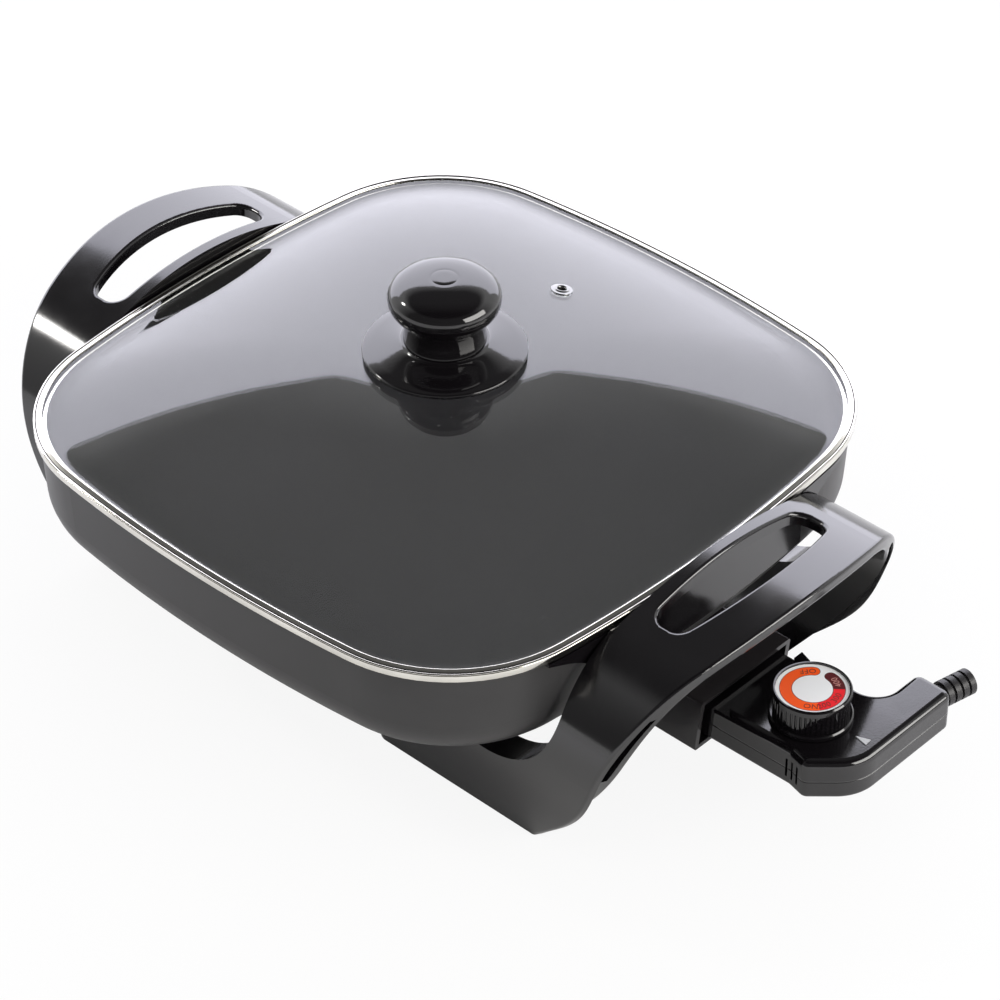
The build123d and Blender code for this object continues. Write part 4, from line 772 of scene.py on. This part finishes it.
# %% Hole for the vent
vent_tilt = Vector((0, 0, 1)).rotation_difference(VENT_NORMAL).to_matrix().to_4x4()
at_vent = Matrix.Translation(VENT_PLACE) @ vent_tilt
cutter_shape = bmesh.new()
bmesh.ops.create_cone(
    cutter_shape,
    cap_ends=True,
    segments=48,
    radius1=VENT_CUT,
    radius2=VENT_CUT,
    depth=CUT_LENGTH,
    matrix=at_vent,
)
cutter = bpy.data.objects.new("vent_cutter", bpy.data.meshes.new("vent_cutter"))
cutter_shape.to_mesh(cutter.data)
cutter_shape.free()
bpy.context.scene.collection.objects.link(cutter)
cut = domed_glass.modifiers.new("vent_hole", "BOOLEAN")
cut.operation = "DIFFERENCE"
cut.solver = "EXACT"
cut.object = cutter
bpy.context.view_layer.update()
holed = bpy.data.meshes.new_from_object(
    domed_glass.evaluated_get(bpy.context.evaluated_depsgraph_get())
)
domed_glass.modifiers.clear()
domed_glass.data = holed
holed.set_sharp_from_angle(angle=math.radians(GLASS_SHARP))
bpy.data.objects.remove(cutter)
print("domed glass faces:", len(domed_glass.data.polygons))

# %% [markdown]
# ## The lid's knob, its flange and the steam vent
# These three are turned shapes, so each is one section spun once round its axis. The knob is a
# full mushroom with a small ring pressed into its top, the flange under it is a shallow dish that
# rises to a thin collar, and the vent is a steel eyelet whose inner edge is rolled over. A spin
# with merged ends closes the surface, and points on the axis melt into one pole.

# %% Turned pieces
TURN_STEPS = 96


def turned_piece(name, section, place, node, slot, finish):
    """A closed section of (radius, height) points in mm, spun round an axis that `place` sets."""
    shape = closed_section(section, lambda radius, height: (radius * MM, 0, height * MM))
    bmesh.ops.spin(
        shape,
        geom=shape.verts[:] + shape.edges[:],
        cent=(0, 0, 0),
        axis=(0, 0, 1),
        angle=2 * math.pi,
        steps=TURN_STEPS,
        use_merge=True,
    )
    bmesh.ops.remove_doubles(shape, verts=shape.verts, dist=WELD)
    bmesh.ops.transform(shape, matrix=place, verts=shape.verts)
    return lid_piece(shape, name, finish, node, sharp_from=45)


print("turned pieces have", TURN_STEPS, "steps")

# %% Knob, flange and vent
knob_section = (
    (0.0, 157.95),
    (4.6, 157.95),
    (4.6, 146.92),
    (17.8, 146.92),
    (18.1, 147.20),
    (18.0, 148.20),
    (17.7, 151.50),
    (17.6, 155.50),
    (17.9, 157.60),
    (19.2, 159.10),
    (20.95, 160.70),
    (22.7, 162.50),
    (23.9, 164.50),
    (24.55, 166.60),
    (24.7, 168.60),
    (24.3, 170.60),
    (23.25, 172.60),
    (21.4, 174.40),
    (18.7, 175.90),
    (15.2, 177.05),
    (11.0, 177.82),
    (7.6, 178.18),
    (6.15, 178.25),
    (5.95, 178.215),
    (5.75, 178.22),
    (5.55, 178.28),
    (3.0, 178.37),
    (0.0, 178.40),
)
flange_section = (
    (2.5, 139.92),
    (35.2, 139.92),
    (35.8, 140.20),
    (36.0, 140.80),
    (36.0, 141.50),
    (35.75, 141.95),
    (35.2, 142.20),
    (31.0, 143.00),
    (27.0, 143.85),
    (23.5, 144.70),
    (21.4, 145.35),
    (20.1, 145.85),
    (19.4, 146.25),
    (19.1, 146.60),
    (18.9, 146.85),
    (18.5, 146.90),
    (2.5, 146.90),
)
eyelet_section = (
    (2.0, -4.20),
    (4.8, -4.20),
    (5.0, -4.00),
    (4.9, -3.45),
    (4.6, -3.32),
    (3.45, -3.32),
    (3.45, 0.12),
    (4.8, 0.12),
    (5.0, 0.24),
    (4.95, 0.38),
    (4.6, 0.46),
    (3.8, 0.48),
    (3.55, 0.60),
    (3.38, 0.82),
    (3.05, 0.98),
    (2.65, 0.96),
    (2.3, 0.80),
    (2.1, 0.50),
    (2.0, 0.20),
)
upright = Matrix.Identity(4)
plastic = ("black_phenolic", black_phenolic)
turned_pieces = [
    turned_piece("knob_cap", knob_section, upright, "lid_knob", *plastic),
    turned_piece("knob_flange", flange_section, upright, "knob_base", *plastic),
    turned_piece(
        "vent_eyelet", eyelet_section, at_vent, "vent_grommet", "polished_steel", eyelet_steel
    ),
]
print({piece.name: len(piece.data.polygons) for piece in turned_pieces})

# %% [markdown]
# ## The printed dial
# The plate on top of the dial is printed: an arc from orange to dark red shows how far the dial is
# turned up, between two round ends. A print has no thickness worth modelling, so it is drawn in the
# plate's material. The distance of each point to the arc's middle line gives the arc, its round
# ends and its thin outline all at once, and the angle along it gives the colour.

# %% Dial plate
DIAL_X = 209.0 * MM
ARC_START = 106.0  # degrees from +X to the middle of the gap
ARC_MIDDLE = 11.14 * MM
ARC_HALF = 2.41 * MM
ARC_LINE = 0.28 * MM
FIRST_CAP = math.radians(19.9)  # from the gap to the middle of the first round end
LAST_CAP = math.radians(340.2)
RED_FROM = math.radians(216.7)
DARK_FROM = math.radians(295.9)
PLATE_RIM = 14.35 * MM
PLATE_ROUGH, PLATE_SPREAD, PLATE_SHINE = 0.46, 0.06, 0.3
PLATE_GRAIN = 2500  # lumps to the metre
PRINT_SOFT = 0.06 * MM  # half width of a printed edge
COLOUR_SOFT = 0.01  # half of the turn, in radians, over which one colour becomes the next
PLATE_GREY = (0.90, 0.91, 0.92, 1)
LINE_BROWN = (0.10, 0.035, 0.025, 1)
ARC_ORANGE = (1.0, 0.100, 0.002, 1)
ARC_RED = (0.85, 0.014, 0.022, 1)
ARC_DARK = (0.105, 0.010, 0.012, 1)


def past(tree, value, edge, soft):
    """0 below an edge and 1 above it, with a blend `soft` each side."""
    return remap(tree, value, edge - soft, edge + soft, 0, 1)


def within(tree, value, edge, soft):
    """1 below an edge and 0 above it, with a blend `soft` each side."""
    return remap(tree, value, edge - soft, edge + soft, 1, 0)


def on_plate(tree, x, y):
    """A point in the plane of the plate."""
    return add_node(tree, "ShaderNodeCombineXYZ", {"X": x, "Y": y, "Z": 0.0}).outputs[0]


def printed_plate():
    """Light grey plate with a white edge and the coloured arc."""
    material, tree, output = new_finish("dial_print")
    here = object_points(tree)
    centred = vector_node(tree, "SUBTRACT", here, (DIAL_X, 0, 0))[0]
    from_gap = add_node(
        tree,
        "ShaderNodeVectorRotate",
        {"Vector": centred, "Angle": -math.radians(ARC_START)},
        rotation_type="Z_AXIS",
    ).outputs[0]
    across, along = one_axis(tree, from_gap, "X"), one_axis(tree, from_gap, "Y")
    raw_angle = calculate(tree, "ARCTAN2", along, across)
    angle = add_node(
        tree, "ShaderNodeMath", {0: raw_angle, 1: 2 * math.pi, 2: 0.0}, operation="WRAP"
    ).outputs[0]
    after_first = calculate(tree, "MAXIMUM", angle, FIRST_CAP)
    nearest = calculate(tree, "MINIMUM", after_first, LAST_CAP)
    middle_line = on_plate(
        tree,
        calculate(tree, "MULTIPLY", calculate(tree, "COSINE", nearest), ARC_MIDDLE),
        calculate(tree, "MULTIPLY", calculate(tree, "SINE", nearest), ARC_MIDDLE),
    )
    flat = on_plate(tree, across, along)
    off_line = measure(tree, "DISTANCE", flat, middle_line)
    radius = measure(tree, "LENGTH", flat)
    warm = mix_colour(tree, past(tree, angle, RED_FROM, COLOUR_SOFT), ARC_ORANGE, ARC_RED)
    arc = mix_colour(tree, past(tree, angle, DARK_FROM, COLOUR_SOFT), warm, ARC_DARK)
    plate = mix_colour(tree, past(tree, radius, PLATE_RIM, PRINT_SOFT), PLATE_GREY, WHITE)
    in_line = within(tree, off_line, ARC_HALF + ARC_LINE, PRINT_SOFT)
    lined = mix_colour(tree, in_line, plate, LINE_BROWN)
    printed = mix_colour(tree, within(tree, off_line, ARC_HALF, PRINT_SOFT), lined, arc)
    grain = noise(tree, here, PLATE_GRAIN, detail=2)
    plain_shader(
        tree,
        output,
        {
            "Base Color": printed,
            "Roughness": around(tree, grain, PLATE_ROUGH, PLATE_SPREAD),
            "Specular IOR Level": PLATE_SHINE,
            "Normal": bump(tree, grain, 0.05, 0.05 * MM),
        },
    )
    return material


dial_print = printed_plate()
print("dial print made")

# %% [markdown]
# ## Words and numbers on the dial
# The print says where the dial is off and on and gives three plain numbers. Lettering is the one
# thing a text object does best: it is made from Blender's own plain font, turned into a mesh a
# hair thick, and put in place by turning each word round the dial's axis. All tops point to the
# middle, so that a word reads upright when its part of the arc is nearest.

# %% Dial lettering
PLATE_TOP = 70.8 * MM
INK_THICK = 0.04 * MM
LETTER_HEIGHT = 2.7 * MM
CAP_SHARE = 0.7  # of a font's size that its capitals are high
LETTER_SPACE = 1.05


def dial_word(name, words, angle, ink):
    """Flat lettering on the dial's arc, at `angle` degrees round it."""
    text = bpy.data.curves.new(name, "FONT")
    text.body = words
    text.size = LETTER_HEIGHT / CAP_SHARE
    text.align_x = text.align_y = "CENTER"
    text.extrude = INK_THICK / 2
    text.space_character = LETTER_SPACE
    holder = bpy.data.objects.new(name, text)
    bpy.context.scene.collection.objects.link(holder)
    bpy.context.view_layer.update()
    mesh = bpy.data.meshes.new_from_object(holder)
    bpy.data.objects.remove(holder)
    place = (
        Matrix.Translation((DIAL_X, 0, PLATE_TOP + INK_THICK / 2))
        @ Matrix.Rotation(math.radians(angle + 90), 4, "Z")
        @ Matrix.Translation((0, -ARC_MIDDLE, 0))
    )
    mesh.transform(place)
    piece = bpy.data.objects.new(name, mesh)
    bpy.context.scene.collection.objects.link(piece)
    mesh.materials.clear()
    mesh.materials.append(ink)
    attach(piece, "dial")
    return piece


dark_ink = moulded("dark_ink", (0.16, 0.018, 0.010), 0.4, 0.03, 0.004)
pale_ink = moulded("pale_ink", (0.55, 0.25, 0.22), 0.4, 0.03, 0.004)
lettering = [
    dial_word("word_off", "OFF", 139, dark_ink),
    dial_word("word_on", "ON", 306, dark_ink),
    dial_word("number_200", "200", 335, dark_ink),
    dial_word("number_300", "300", 372, dark_ink),
    dial_word("number_400", "400", 425, pale_ink),
]
print("words on the dial:", [piece.name for piece in lettering])

# %% [markdown]
# ## Every CAD node gets its finish
# The table below is the bill of materials in short: which finish each node has. A node that is
# missing from it would stop the notebook, so none can be left bare by mistake.

# %% Finishes for the CAD nodes
node_finish = {
    "pan": charcoal_pan,
    "heating_element": dull_steel,
    "element_pins": dull_steel,
    "pin_insulators": white_ceramic,
    "socket_guard": guard_black,
    "guard_screws": zinc_plate,
    "handle_right": handle_black,
    "handle_left": handle_black,
    "leg_screws": zinc_plate,
    "lid_glass": lid_clear,
    "lid_ring": polished_steel,
    "vent_grommet": polished_steel,
    "knob_seal": soft_rubber,
    "knob_base": black_phenolic,
    "lid_knob": black_phenolic,
    "knob_insert": plain_brass,
    "knob_washer": zinc_plate,
    "knob_screw": zinc_plate,
    "upper_housing": casing_black,
    "lower_housing": casing_black,
    "housing_screws": zinc_plate,
    "probe_rod": polished_steel,
    "contact_sleeves": plain_brass,
    "sleeve_block": white_ceramic,
    "thermostat_bracket": white_ceramic,
    "bimetal_strip": spring_strip,
    "contact_arm": spring_strip,
    "silver_contacts": contact_silver,
    "push_pin": white_ceramic,
    "conductor_straps": plain_copper,
    "cord_clamp": guard_black,
    "strain_relief": soft_rubber,
    "setting_pointer": pointer_grey,
    "control_knob": black_phenolic,
    "dial_plate": dial_print,
    "dial_shaft": dull_steel,
}
for name, node in nodes.items():
    node.data.materials.clear()
    node.data.materials.append(node_finish[name])
print("finished nodes:", len(node_finish))
